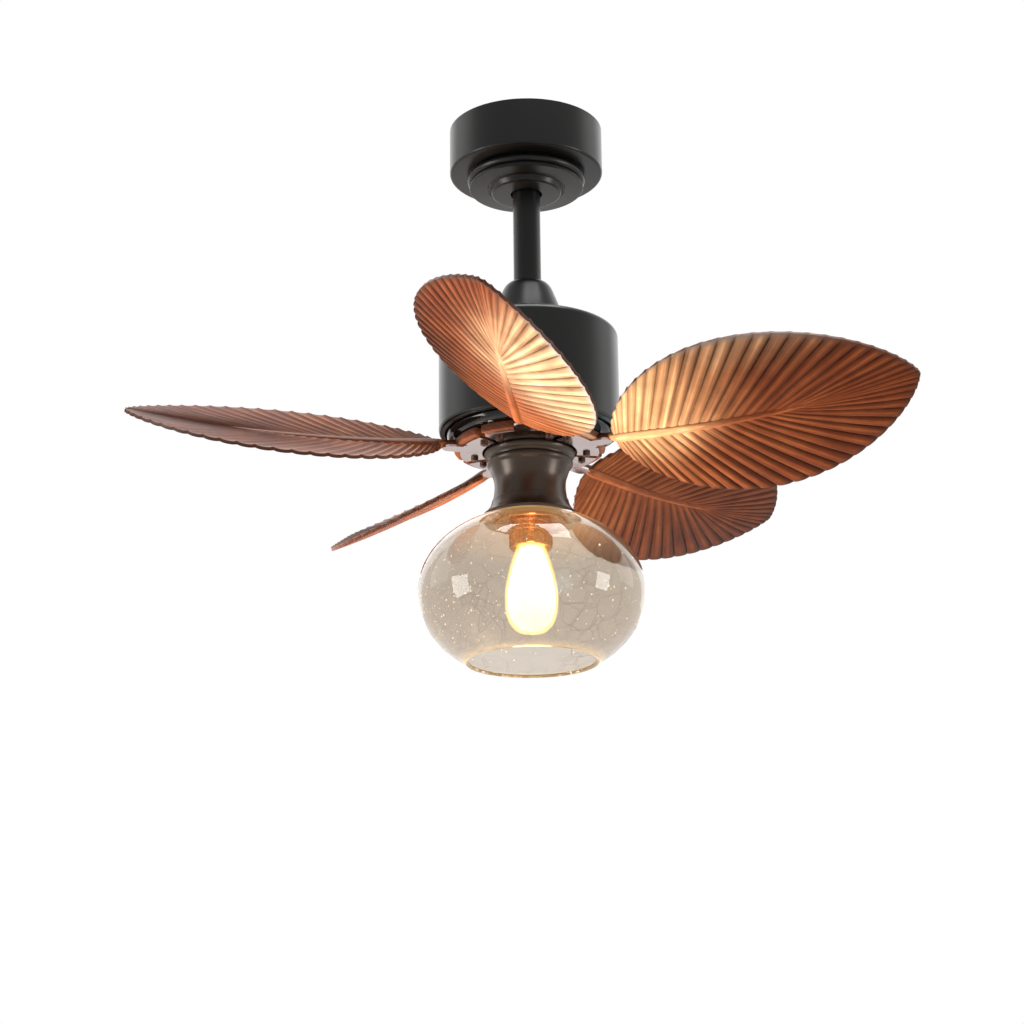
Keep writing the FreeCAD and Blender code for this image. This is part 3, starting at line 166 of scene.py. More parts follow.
finishLooks = {
    "satin_black": dict(dark=(0.005, 0.0048, 0.0047), light=(0.009, 0.0086, 0.0083), drift=9, grain=900,
                        rough=0.32, roughSpread=0.06, bump=0.1, depth=0.0004,
                        plain={"Specular IOR Level": 0.2}),
    "gloss_black": dict(dark=(0.005, 0.005, 0.005), light=(0.009, 0.0085, 0.008), drift=12, grain=500,
                        rough=0.12, roughSpread=0.05, bump=0.05, depth=0.0003,
                        plain={"Specular IOR Level": 0.22, "Coat Weight": 0.08, "Coat Roughness": 0.04}),
    "dark_bronze": dict(dark=(0.021, 0.0125, 0.0076), light=(0.046, 0.028, 0.0165), drift=14, grain=700,
                        rough=0.32, roughSpread=0.12, bump=0.1, depth=0.0004,
                        plain={"Metallic": 0.35, "Specular IOR Level": 0.4}),
    "zinc_steel": dict(dark=(0.42, 0.42, 0.41), light=(0.6, 0.6, 0.6), drift=60, grain=420, rough=0.38,
                       roughSpread=0.22, bump=0.12, depth=0.0005, plain={"Metallic": 1.0}),
    "bearing_steel": dict(dark=(0.6, 0.6, 0.62), light=(0.72, 0.72, 0.73), drift=40, grain=800, rough=0.14,
                          roughSpread=0.08, bump=0.04, depth=0.0002, plain={"Metallic": 1.0}),
    "core_steel": dict(dark=(0.16, 0.16, 0.165), light=(0.3, 0.3, 0.3), drift=30, grain=50, rough=0.45,
                       roughSpread=0.2, bump=0.4, depth=0.0006, stretch=(1, 1, 40), plain={"Metallic": 0.9}),
    "copper_wire": dict(dark=(0.42, 0.16, 0.07), light=(0.62, 0.28, 0.13), drift=30, grain=60, rough=0.32,
                        roughSpread=0.15, bump=0.5, depth=0.0008, stretch=(1, 1, 22),
                        plain={"Metallic": 0.9}),
    "magnet": dict(dark=(0.06, 0.06, 0.062), light=(0.11, 0.11, 0.11), drift=50, grain=500, rough=0.55,
                   roughSpread=0.2, bump=0.2, depth=0.0004, plain={"Metallic": 0.4}),
    "cast_alloy": dict(dark=(0.42, 0.42, 0.43), light=(0.56, 0.56, 0.56), drift=40, grain=350, rough=0.5,
                       roughSpread=0.2, bump=0.3, depth=0.0006, plain={"Metallic": 0.95}),
    "nylon": dict(dark=(0.66, 0.63, 0.56), light=(0.76, 0.74, 0.68), drift=40, grain=600, rough=0.5,
                  roughSpread=0.15, bump=0.1, depth=0.0004),
    "dark_plastic": dict(dark=(0.025, 0.025, 0.025), light=(0.045, 0.045, 0.045), drift=30, grain=800,
                         rough=0.5, roughSpread=0.2, bump=0.2, depth=0.0004),
    "rose_metal": dict(dark=(0.36, 0.28, 0.265), light=(0.5, 0.41, 0.39), drift=45, grain=500, rough=0.16,
                       roughSpread=0.1, bump=0.12, depth=0.0004, plain={"Metallic": 1.0}),
    "brown_screw": dict(dark=(0.05, 0.022, 0.014), light=(0.11, 0.055, 0.035), drift=120, grain=900,
                        rough=0.36, roughSpread=0.15, bump=0.1, depth=0.0003, plain={"Metallic": 0.5}),
    "copper_trim": dict(dark=(0.6, 0.3, 0.13), light=(0.85, 0.46, 0.2), drift=35, grain=500, rough=0.26,
                        roughSpread=0.14, bump=0.1, depth=0.0004, plain={"Metallic": 1.0}),
    "socket_brass": dict(dark=(0.55, 0.4, 0.16), light=(0.7, 0.54, 0.25), drift=60, grain=600, rough=0.25,
                         roughSpread=0.12, bump=0.08, depth=0.0003, plain={"Metallic": 1.0}),
    "cap_metal": dict(dark=(0.55, 0.55, 0.54), light=(0.7, 0.7, 0.69), drift=60, grain=600, rough=0.28,
                      roughSpread=0.14, bump=0.1, depth=0.0003, plain={"Metallic": 1.0}),
    "seal_rubber": dict(dark=(0.02, 0.02, 0.02), light=(0.035, 0.035, 0.035), drift=60, grain=900, rough=0.7,
                        roughSpread=0.15, bump=0.2, depth=0.0003),
    "lead_rubber": dict(dark=(0.03, 0.03, 0.03), light=(0.05, 0.05, 0.05), drift=60, grain=900, rough=0.6,
                        roughSpread=0.15, bump=0.2, depth=0.0003),
}
finishes = {name: clouded(name, look) for name, look in finishLooks.items()}

leafLook = dict(
    wood=[(0.25, (0.09, 0.023, 0.009)), (0.52, (0.25, 0.068, 0.025)), (0.8, (0.45, 0.16, 0.065))],
    fibre=(26, 900, 1), streak=(9, 210, 1), figure=24, shares=(0.8, 0.35, 0.55), shift=0.35,
    outer=(0.78, 0.7, 0.64), outerFrom=0.12, outerTo=0.36,     # painted falloff of the lamp's light, darker towards the tip
    inner=(1.0, 1.15, 1.2), innerFrom=0.25, innerTo=0.1,       # painted lamp light, paler towards the hub
    # fold: painted highlight on the pleat ridges, painted shade down into the valleys
    fold=[(0.0, (1.45, 1.45, 1.45)), (0.22, (1.2, 1.2, 1.2)), (0.7, (0.62, 0.6, 0.58)),
          (0.9, (0.3, 0.28, 0.27)), (1.0, (0.1, 0.09, 0.085))],
    # upper: painted shade, darker and greyer on the top faces
    upper=(0.6, 0.6, 0.62), upperShare=0.65, lacquer=0.15, edge=(0.13, 0.05, 0.03),
    rough=0.45, roughSpread=0.3, bump=0.35, depth=0.0008,
    plain={"Specular IOR Level": 0.1, "Coat Roughness": 0.4})


def leafWood(look):
    # grain along the pleats; painted highlight and shade on the pleats, the top faces and the edge; painted
    # lamp light
    finish = Finish("leaf_wood", look["plain"])
    along = finish.node("ShaderNodeUVMap", {"uv_map": "pleats"})
    where = finish.place()
    fibre = finish.noise(along, 1.0, 6.0, look["fibre"], 0.65)
    streak = finish.noise(along, 1.0, 4.0, look["streak"], 0.6)
    figure = finish.noise(where, look["figure"])
    streakShare, fibreShare, figureShare = look["shares"]
    tone = streak * streakShare + fibre * fibreShare + figure * figureShare - look["shift"]
    # painted lamp light: paler near the hub, darker towards the tip
    level = finish.node("ShaderNodeMapping", {}, {"Vector": where, "Scale": (1, 1, 0)})
    reach = finish.node("ShaderNodeVectorMath", {"operation": "LENGTH"}, {0: level}, output="Value")
    outer = finish.spread(reach, look["outerFrom"], look["outerTo"])
    inner = finish.spread(reach, look["innerFrom"], look["innerTo"])
    shade = finish.mix(inner, finish.mix(outer, (1, 1, 1), look["outer"]), look["inner"])
    wood = finish.mix(1.0, finish.ramp(tone, look["wood"]), shade, "MULTIPLY")
    upper = finish.mark("upper")
    # painted highlight on the pleat ridges and painted shade in the valleys
    crease = finish.ramp(finish.mark("crease"), look["fold"])
    # the top faces take painted shade, with less of the painted pleat shading
    fold = finish.mix(upper * look["upperShare"], crease, look["upper"])
    folded = finish.mix(1.0, wood, fold, "MULTIPLY")
    # the edge and the root flange take painted shade
    finish.link("Base Color", finish.mix(finish.mark("rim"), folded, look["edge"]))
    finish.link("Roughness", look["rough"] + (fibre - 0.5) * look["roughSpread"])
    finish.link("Coat Weight", upper * look["lacquer"])
    finish.bump(fibre * 0.7 + streak * 0.3, look["bump"], look["depth"])
    return finish


globeLook = dict(
    # power and glow: the glass glows with painted lamp light, most at the mouth and the crown
    tint=(0.655, 0.607, 0.55), rough=0.02, wave=22, depth=0.0016, clear=0.985, power=0.36,
    lines=48.0, lineWidth=0.035, lineShade=0.72, patches=16, patchFrom=0.42, patchTo=0.6,
    low=-0.541, high=-0.394,
    glow=[(0.0, (0.7, 0.46, 0.2)), (0.05, (0.05, 0.03, 0.012)), (0.8, (0.02, 0.012, 0.005)),
          (0.93, (0.42, 0.22, 0.07)), (1.0, (0.9, 0.55, 0.2))])
bulbLook = dict(tint=(1.0, 0.92, 0.75), rough=0.03, wave=40, depth=0.0003, clear=1.0, power=0.45,
                glow=(1.0, 0.72, 0.3))
blown = dict(ior=1.32, ripple=0.25, stretch=(1, 1, 2.2))       # what the two glasses share


def blownGlass(name, look):
    finish = Finish(name, {"Base Color": look["tint"], "Roughness": look["rough"], "IOR": blown["ior"],
                           "Transmission Weight": look["clear"], "Emission Strength": look["power"]})
    ripple = finish.noise(finish.place(), look["wave"], 2.0, blown["stretch"])
    finish.bump(ripple, blown["ripple"], look["depth"])
    return finish


def globeGlass(look):
    # fine drawn lines in patches, and a painted glow of the lamp's light in the crown and the mouth
    finish = blownGlass("seeded_glass", look)
    where = finish.place()
    drawn = finish.node("ShaderNodeTexVoronoi", {"feature": "DISTANCE_TO_EDGE"},
                        {"Vector": where, "Scale": look["lines"]})
    line = finish.spread(drawn, 0.0, look["lineWidth"], 1.0, 0.0)
    patch = finish.spread(finish.noise(where, look["patches"], 2.0), look["patchFrom"], look["patchTo"])
    darker = [part * look["lineShade"] for part in look["tint"]]
    finish.link("Base Color", finish.mix(line * patch, look["tint"], darker))
    share = finish.heightShare(where, look["low"], look["high"])
    finish.link("Emission Color", finish.ramp(share, look["glow"]))
    return finish


def bulbGlass(look):
    finish = blownGlass("bulb_glass", look)
    finish.link("Emission Color", look["glow"])
    return finish


glowLooks = {
    "filament": dict(core=(1.0, 0.93, 0.72), edge=(1.0, 0.6, 0.2), power=6.0, low=-0.49, high=-0.42),
    "glow": dict(core=(1.0, 0.92, 0.62), edge=(1.0, 0.62, 0.2), power=3.0, low=-0.512, high=-0.41),
    # the bubbles glow: painted glints
    "seeds": dict(core=(1.0, 0.93, 0.8), edge=(1.0, 0.86, 0.66), power=0.55, low=-0.56, high=-0.38),
}


def glowing(name, look):
    # the light is whitest half way down the lamp
    finish = Finish(name, {"Base Color": (0.9, 0.75, 0.5), "Roughness": 0.3,
                           "Emission Strength": look["power"]})
    where = finish.place()
    cloud = finish.noise(where, 60, 2.0)
    share = finish.heightShare(where, look["low"], look["high"]) + (cloud - 0.5) * 0.1
    stops = [(0.0, look["edge"]), (0.3, look["core"]), (0.75, look["core"]), (1.0, look["edge"])]
    finish.link("Emission Color", finish.ramp(share, stops))
    return finish


finishes["leaf_wood"] = leafWood(leafLook)
finishes["seeded_glass"] = globeGlass(globeLook)
finishes["bulb_glass"] = bulbGlass(bulbLook)
for name, look in glowLooks.items():
    finishes[name] = glowing(name, look)
print("finishes:", len(finishes))


def clearSelection():
    if bpy.context.mode != "OBJECT":
        bpy.ops.object.mode_set(mode="OBJECT")
    bpy.ops.object.select_all(action="DESELECT")


def pick(*pieces):
    # these alone are selected, the first one is active
    clearSelection()
    for piece in pieces:
        piece.select_set(True)
    bpy.context.view_layer.objects.active = pieces[0]


def applyPlace():
    bpy.ops.object.transform_apply(location=True, rotation=True, scale=True)


def copied(source, angle=0):
    # a copy with its own mesh, turned about the fan's axis
    made = source.copy()
    made.data = source.data.copy()
    bpy.context.scene.collection.objects.link(made)
    made.rotation_euler = (0, 0, math.radians(angle))
    return made


def joined(pieces):
    pick(*pieces)
    applyPlace()
    bpy.ops.object.join()
    return bpy.context.object


def edit(action="SELECT"):
    bpy.ops.object.mode_set(mode="EDIT")
    bpy.ops.mesh.select_all(action=action)


def closeShell():
    # doubles merged, faces turned outwards, back to object mode
    bpy.ops.mesh.select_all(action="SELECT")
    bpy.ops.mesh.remove_doubles(threshold=0.000002)
    bpy.ops.mesh.normals_make_consistent(inside=False)
    bpy.ops.object.mode_set(mode="OBJECT")


def settle(piece, name, finish, body, nodes=(), angle=40):
    # put the piece's place in its mesh, name it, paint it and hang it on its body
    pick(piece)
    applyPlace()
    bpy.ops.object.shade_smooth_by_angle(angle=math.radians(angle))
    piece.name = name
    piece.data.name = name
    piece.data.materials.clear()
    piece.data.materials.append(finishes[finish].mat)
    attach(piece, body)
    if nodes:
        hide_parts(*nodes)
    return piece


def turned(outline, sides=128, closed=True):
    # a ring is drawn out and scaled from one point of the outline to the next
    # outlines are radius and drop from the ceiling, in millimetres
    profile = [(radius / 1000, -drop / 1000) for radius, drop in outline]
    radius, height = profile[0]
    clearSelection()
    bpy.ops.mesh.primitive_circle_add(vertices=sides, radius=radius, fill_type="NOTHING",
                                      location=(0, 0, height))
    piece = bpy.context.object
    applyPlace()
    edit()
    for nextRadius, nextHeight in profile[1:] + (profile[:1] if closed else []):
        bpy.ops.mesh.extrude_edges_move(TRANSFORM_OT_translate={"value": (0, 0, nextHeight - height)})
        share = nextRadius / radius
        bpy.ops.transform.resize(value=(share, share, 1), center_override=(0, 0, nextHeight))
        radius, height = nextRadius, nextHeight
    closeShell()
    return piece


def closePoles(piece, drops, reach=0.4):
    # the last small ring at each drop is drawn together to a point on the axis
    for drop in drops:
        edit("DESELECT")
        bpy.ops.mesh.select_mode(type="VERT")
        bpy.ops.object.mode_set(mode="OBJECT")
        pole = Vector((0, 0, -drop / 1000))
        for vertex in piece.data.vertices:
            vertex.select = (vertex.co - pole).length < reach / 1000
        bpy.ops.object.mode_set(mode="EDIT")
        bpy.ops.mesh.merge(type="CENTER")
    bpy.ops.mesh.select_all(action="SELECT")
    bpy.ops.mesh.delete_loose(use_verts=True, use_edges=True, use_faces=False)
    bpy.ops.object.mode_set(mode="OBJECT")


def bent(centre, radius, start, end, steps=8):
    # points of an arc in the outline, angles from the radius towards the drop
    points = []
    for step in range(steps + 1):
        angle = math.radians(start + (end - start) * step / steps)
        points.append((centre[0] + radius * math.cos(angle), centre[1] + radius * math.sin(angle)))
    return points


def eased(points, steps=6):
    # a smooth run through the given points
    run = []
    count = len(points)
    for index in range(count - 1):
        before = Vector(points[max(index - 1, 0)])
        here = Vector(points[index])
        after = Vector(points[index + 1])
        beyond = Vector(points[min(index + 2, count - 1)])
        for step in range(steps):
            t = step / steps
            place = 0.5 * (2 * here + (after - before) * t
                           + (2 * before - 5 * here + 4 * after - beyond) * t * t
                           + (3 * here - before - 3 * after + beyond) * t ** 3)
            run.append((place.x, place.y))
    run.append(tuple(points[-1]))
    return run


canopy = dict(radius=75, height=47, wall=1.2, round=2.6, hole=38, land=0.6, sides=160)


def makeCanopy():
    c = canopy
    corner = (c["radius"] - c["round"], c["height"] - c["round"])
    outline = [(c["radius"], 0.0), (c["radius"], c["land"])]
    outline += bent(corner, c["round"], 0, 90)
    outline += [(c["hole"], c["height"]), (c["hole"], c["height"] - c["wall"])]
    outline += bent(corner, c["round"] - c["wall"], 90, 0)
    outline += [(c["radius"] - c["wall"], 0.0)]
    piece = turned(outline, c["sides"])
    settle(piece, "canopyCup", "satin_black", "ceiling_mount", nodes=["canopy"], angle=35)


cover = dict(
    sides=160, foot=67, bore=15.15, wall=1.4, boreRound=0.9, bossRadius=34.5, bossRound=2.6,
    seat=[(54.6, 47), (56.6, 47.02)],
    bead=bent((53.5, 51.9), 4.5, -70, 78, 14),
    groove=[(54.3, 56.6)],
    lip=bent((55.0, 57.5), 0.8, -90, 0, 4) + bent((55.0, 60.2), 0.8, 0, 90, 5),
    step=[(39.4, 61.2), (38.2, 61.4)],
    cove=bent((38.0, 63.0), 2.2, -110, -175, 6),               # up to the boss
    footEase=1.2,
    inside=[(33.0, 65.6), (33.0, 59.8), (53.2, 59.8), (53.2, 49.0)])


def makeCover():
    c = cover
    outline = c["seat"] + c["bead"] + c["groove"] + c["lip"] + c["step"] + c["cove"]
    outline += bent((c["bossRadius"] - c["bossRound"], c["foot"] - c["bossRound"]), c["bossRound"], 10, 90, 7)
    outline += [(c["bore"] + c["footEase"], c["foot"])]
    outline += bent((c["bore"] + c["boreRound"], c["foot"] - c["boreRound"]), c["boreRound"], 90, 180, 5)
    outline += [(c["bore"], c["foot"] - c["wall"])] + c["inside"]
    piece = turned(outline, c["sides"])
    settle(piece, "canopyCover", "satin_black", "ceiling_mount", nodes=["canopy_cover"], angle=32)


rod = dict(radius=13.35, wall=2.9, top=10, bottom=196, outerEase=0.5, innerEase=0.4, sides=96)


def makeRod():
    r = rod
    inner = r["radius"] - r["wall"]
    out, into = r["outerEase"], r["innerEase"]
    outline = [(inner, r["top"] + into), (inner + into, r["top"]), (r["radius"] - out, r["top"]),
               (r["radius"], r["top"] + out), (r["radius"], r["bottom"] - out),
               (r["radius"] - out, r["bottom"]), (inner + into, r["bottom"]), (inner, r["bottom"] - into)]
    piece = turned(outline, r["sides"])
    settle(piece, "hangingRod", "satin_black", "drop", nodes=["downrod"])


bell = dict(neck=13.95, base=40, top=161.5, bottom=215, wall=1.4, steps=8, sides=128,
            shares=[(0.2, 0.03), (0.36, 0.12), (0.52, 0.31), (0.68, 0.52), (0.85, 0.77)])


def bellSide(inset):
    b = bell
    run = [(b["neck"], b["top"] + inset)]
    for across, down in b["shares"]:
        run.append((b["neck"] + (b["base"] - b["neck"]) * across - inset,
                    b["top"] + inset + (b["bottom"] - b["top"] - inset) * down))
    return eased(run + [(b["base"] - inset, b["bottom"])], b["steps"])


def makeBell():
    piece = turned(bellSide(0) + bellSide(bell["wall"])[::-1], bell["sides"])
    settle(piece, "couplingBell", "satin_black", "drop", nodes=["coupling_cover"], angle=50)


drum = dict(radius=86.3, top=215, bottom=316, wall=1.8, topRound=6, bottomRound=2.6, lip=80.5, hole=12.5,
            band=40, seam=(3.4, 3.1), seamDepth=0.35, seamIn=0.2, lipEase=0.3, shoulder=0.8, sides=192)


def makeDrum():
    d = drum
    inside = d["radius"] - d["wall"]
    topCorner = (d["radius"] - d["topRound"], d["top"] + d["topRound"])
    lowCorner = (d["radius"] - d["bottomRound"] - d["seamIn"], d["bottom"] - d["bottomRound"])
    outline = [(d["hole"], d["top"])]
    outline += bent(topCorner, d["topRound"], -90, 0, 12)
    outline += [(d["radius"], d["top"] + d["band"]), (d["radius"], d["bottom"] - d["seam"][0]),
                (d["radius"] - d["seamDepth"], d["bottom"] - d["seam"][1])]
    outline += bent(lowCorner, d["bottomRound"], 5, 90, 8)
    outline += [(d["lip"] + d["lipEase"], d["bottom"]), (d["lip"], d["bottom"] - d["lipEase"]),
                (d["lip"], d["bottom"] - d["wall"]), (inside, d["bottom"] - d["wall"] - d["shoulder"]),
                (inside, d["top"] + d["topRound"])]
    outline += bent(topCorner, d["topRound"] - d["wall"], 0, -90, 8)
    outline += [(d["hole"], d["top"] + d["wall"])]
    piece = turned(outline, d["sides"])
    settle(piece, "motorDrum", "satin_black", "drop", nodes=["motor_housing"], angle=35)


# the glossy bowl under the drum
bowl = dict(radius=79, rim=311, bottom=325, round=9, lip=17, flat=48, rimEase=0.4, rimFoot=(4.2, 3.6),
            inside=[(75.0, 300.0), (66.5, 300.0), (66.5, 320.0), (26.0, 320.0), (26.0, 303.0)],
            bearingSeat=[(21.03, 303.0), (21.03, 315.0), (17.0, 315.0)], sides=160)


def makeBowl():
    b = bowl
    outline = [(b["lip"], b["bottom"]), (b["flat"], b["bottom"])]
    outline += bent((b["radius"] - b["round"], b["bottom"] - b["round"]), b["round"], 90, 8, 14)
    outline += [(b["radius"] - b["rimEase"], b["rim"] + b["rimFoot"][0]),
                (b["radius"], b["rim"] + b["rimFoot"][1]), (b["radius"], b["rim"] + b["rimEase"]),
                (b["radius"] - b["rimEase"], b["rim"]), (b["inside"][0][0], b["rim"])]
    outline += b["inside"] + b["bearingSeat"]
    piece = turned(outline, b["sides"])
    settle(piece, "motorBowl", "gloss_black", "rotor", nodes=["rotor_cover"], angle=30)


neck = dict(
    bore=10.03, top=332, plate=4, shoulder=36.2, sides=144,
    upperBead=bent((38.6, 336.5), 4.6, -96, 62, 14),
    groove=[(39.9, 341.2)],
    lowerBead=bent((36.8, 346.2), 4.2, -52, 58, 10),
    waist=eased([(38.4, 350.6), (36.2, 356.3), (34.2, 363.0), (33.7, 369.4), (34.2, 376.0),
                 (35.2, 382.2)], 5),
    fineRing=[(35.6, 383.0), (36.2, 383.2), (36.4, 383.7)],    # where the flare starts
    flare=eased([(36.4, 384.4), (38.0, 389.0), (41.0, 393.6), (43.8, 396.4), (45.8, 398.1)], 5),
    foot=[(45.6, 398.4), (42.8, 398.4)],
    inside=eased([(42.2, 398.0), (38.2, 394.2), (33.0, 384.6), (31.0, 374.0), (30.9, 365.0),
                  (34.2, 352.0)], 4),
    throat=(35.2, 349.0))


def makeNeck():
    n = neck
    under = n["top"] + n["plate"]
    outline = [(n["bore"], n["top"]), (n["shoulder"], n["top"])]
    outline += n["upperBead"] + n["groove"] + n["lowerBead"]
    outline += n["waist"] + n["fineRing"] + n["flare"] + n["foot"] + n["inside"]
    outline += [n["throat"], (n["throat"][0], under), (n["bore"], under)]
    piece = turned(outline, n["sides"])
    settle(piece, "lightNeck", "dark_bronze", "drop", nodes=["light_neck"], angle=38)


holder = dict(radius=20.4, top=377, bottom=429, bore=15, plate=381, hole=5.05, topRound=1.2, footRound=2.0,
              boreEase=0.6, rings=5, firstRing=398, ringStep=4.2, ringDepth=0.7, ringHalf=1.3, ringFloor=0.6,
              sides=96)


def makeHolder():
    h = holder
    outline = [(h["hole"], h["top"]), (h["radius"] - h["topRound"], h["top"])]
    outline += bent((h["radius"] - h["topRound"], h["top"] + h["topRound"]), h["topRound"], -90, 0, 5)
    groove = h["radius"] - h["ringDepth"]
    for index in range(h["rings"]):                            # rolled rings down the holder
        drop = h["firstRing"] + index * h["ringStep"]
        outline += [(h["radius"], drop - h["ringHalf"]), (groove, drop - h["ringFloor"]),
                    (groove, drop + h["ringFloor"]), (h["radius"], drop + h["ringHalf"])]
    outline += bent((h["radius"] - h["footRound"], h["bottom"] - h["footRound"]), h["footRound"], 0, 90, 6)
    outline += [(h["bore"] + h["boreEase"], h["bottom"]), (h["bore"], h["bottom"] - h["boreEase"]),
                (h["bore"], h["plate"]), (h["hole"], h["plate"])]
    piece = turned(outline, h["sides"])
    settle(piece, "lampHolder", "copper_trim", "drop", nodes=["lampholder"], angle=35)


ring = dict(radius=35, top=401.3, bottom=405.3, bore=20.45, wall=2.0, ease=0.4, round=1.2, lipWide=0.6,
            lipDrop=0.2, groove=(28.0, 27.4, 23.6, 23.0), grooveDepth=0.5, sides=96)


def makeRing():
    r = ring
    outer, foot = r["radius"], r["bottom"]
    outline = [(outer - r["wall"], r["top"] + r["lipDrop"]), (outer - r["wall"] + r["lipWide"], r["top"]),
               (outer - r["ease"], r["top"]), (outer, r["top"] + r["ease"])]
    outline += bent((outer - r["round"], foot - r["round"]), r["round"], 0, 90, 6)
    start, grooveStart, grooveEnd, end = r["groove"]
    outline += [(start, foot), (grooveStart, foot - r["grooveDepth"]), (grooveEnd, foot - r["grooveDepth"]),
                (end, foot), (r["bore"], foot), (r["bore"], foot - r["wall"]),
                (outer - r["wall"], foot - r["wall"])]
    piece = turned(outline, r["sides"])
    settle(piece, "clampRing", "copper_trim", "drop", nodes=["shade_ring"], angle=35)


bulb = dict(neck=12.8, wide=25, top=410, neckEnd=425, bottom=512, wall=0.9, pole=0.3, steps=7, sides=96,
            shares=[(0.62, 0.22), (0.8, 0.36), (0.96, 0.54), (1.0, 0.7), (0.9, 0.86), (0.56, 0.968)])
bulbGlow = dict(inset=2, wide=0.97, top=414, tall=0.95, steps=6, sides=64)     # against the bulb


def bulbSide(inset):
    b = bulb
    run = [(b["neck"] - inset, b["top"]), (b["neck"] - inset, b["neckEnd"])]
    run += [(b["wide"] * across - inset, b["top"] + (b["bottom"] - b["top"]) * down - inset * down)
            for across, down in b["shares"]]
    return run + [(b["pole"], b["bottom"] - inset)]


def makeBulb():
    b = bulb
    outline = eased(bulbSide(0), b["steps"]) + eased(bulbSide(b["wall"]), b["steps"])[::-1]
    piece = turned(outline, b["sides"])
    closePoles(piece, (b["bottom"], b["bottom"] - b["wall"]))
    settle(piece, "bulbGlass", "bulb_glass", "bulb", nodes=["bulb_glass"], angle=60)
    piece.visible_shadow = False


def makeBulbGlow():
    g = bulbGlow
    side = [(radius * g["wide"], g["top"] + (drop - bulb["top"]) * g["tall"])
            for radius, drop in bulbSide(g["inset"])[1:]]
    piece = turned(eased(side, g["steps"]), g["sides"], closed=False)
    pick(piece)
    edit("DESELECT")
    bpy.ops.mesh.select_non_manifold()                         # both open ends are filled
    bpy.ops.mesh.edge_face_add()
    closeShell()
    settle(piece, "bulbGlow", "glow", "bulb", nodes=["bulb_filament"], angle=60)
    piece.visible_shadow = False


globe = dict(radius=107.8, halfHeight=80, drop=473.5, wall=3, hole=21.6, mouth=61.6, lip=2.4, crownEase=0.4,
             crownStep=0.6, mouthOuter=1.2, mouthInner=1.0, lipArc=(30, 185, 12), steps=44, sides=160)


def globeSide(inset, topRadius, lowRadius):
    g = globe
    radius, half = g["radius"] - inset, g["halfHeight"] - inset
    start = math.acos(topRadius / radius)
    end = -math.acos(lowRadius / radius)
    angles = [start + (end - start) * step / g["steps"] for step in range(g["steps"] + 1)]
    return [(radius * math.cos(angle), g["drop"] - half * math.sin(angle)) for angle in angles]


def makeGlobe():
    g = globe
    outer = globeSide(0, g["hole"] + g["crownEase"], g["mouth"] + g["mouthOuter"])
    inner = globeSide(g["wall"], g["hole"] + g["crownEase"], g["mouth"] + g["mouthInner"])
    low = (outer[-1][1] + inner[-1][1]) / 2
    lip = bent((g["mouth"], low), g["lip"], *g["lipArc"])      # rolled edge of the mouth
    crown = [(g["hole"], inner[0][1] - g["crownStep"]), (g["hole"], outer[0][1] + g["crownStep"])]
    piece = turned(outer + lip + inner[::-1] + crown, g["sides"])
    settle(piece, "glassGlobe", "seeded_glass", "drop", nodes=["glass_crown", "glass_bowl"], angle=60)
    piece.visible_shadow = False


# small bubbles in the wall, more of them low down and on one side; they glow as painted glints
seeds = dict(count=420, draw=17, heights=(-0.8, 0.62, -0.45), side=215, spread=85, inset=0.4,
             sizes=(0.25, 0.3, 0.4, 0.5, 0.75), stretch=(0.9, 1.5))


def makeSeeds():
    s = seeds
    chance = random.Random(s["draw"])
    clearSelection()
    bpy.ops.mesh.primitive_ico_sphere_add(subdivisions=1, radius=1)
    bubble = bpy.context.object
    made = []
    for _ in range(s["count"]):
        height = chance.triangular(*s["heights"])
        angle = math.radians(chance.gauss(s["side"], s["spread"]))
        size = chance.choice(s["sizes"]) / 1000
        radius = (globe["radius"] - s["inset"]) * math.sqrt(1 - height * height)
        level = (globe["halfHeight"] - s["inset"]) * height - globe["drop"]
        spot = copied(bubble)
        spot.location = Vector((radius * math.cos(angle), radius * math.sin(angle), level)) / 1000
        spot.scale = (size, size, size * chance.uniform(*s["stretch"]))
        made.append(spot)
    bpy.data.objects.remove(bubble)
    piece = joined(made)
    settle(piece, "glassSeeds", "seeds", "drop", angle=80)
    piece.visible_shadow = False


def paint(mesh, name, values):
    # one number for each vertex, read by the leaf's finish
    layer = mesh.attributes.new(name, "FLOAT", "POINT")
    for index, value in enumerate(values):
        layer.data[index].value = value


def layFlat(mesh, flat):
    # the grain follows these places of the vertices
    layer = mesh.uv_layers.active or mesh.uv_layers.new()
    layer.name = "pleats"
    for loop in mesh.loops:
        layer.data[loop.index].uv = flat[loop.vertex_index]


def facingUp(mesh, value):
    return [value if vertex.normal.z > 0 else 0.0 for vertex in mesh.vertices]


leaf = dict(
    root=86, tip=381, rootDrop=331, tipDrop=315, sag=8, pitch=31, half=90, cup=4.5, thick=3.0,
    base=0.61, end=0.73,                                       # how full the outline is at each end
    pleats=26, firstFold=0.06, lastFold=0.965, fold=2.4, ribReach=0.62, lean=1.15, sharp=3,
    growOver=0.16, growCurve=0.7, tipEase=0.2, edgeEase=0.35, edgeCurve=6,
    tooth=0.45, toothMiddle=0.6, toothEnds=0.4, toothShift=0.1, leastWidth=0.6, rimFrom=0.995,
    rows=10, columns=16, grain=0.3)


def leafHalf(along):
    widest = leaf["base"] / (leaf["base"] + leaf["end"])
    peak = widest ** leaf["base"] * (1 - widest) ** leaf["end"]
    return leaf["half"] * max(along, 0) ** leaf["base"] * max(1 - along, 0) ** leaf["end"] / peak


def pitched(degrees):
    # sideways and upwards on a blade that is turned about its length
    angle = math.radians(degrees)
    return Vector((0, math.cos(angle), -math.sin(angle))), Vector((0, math.sin(angle), math.cos(angle)))


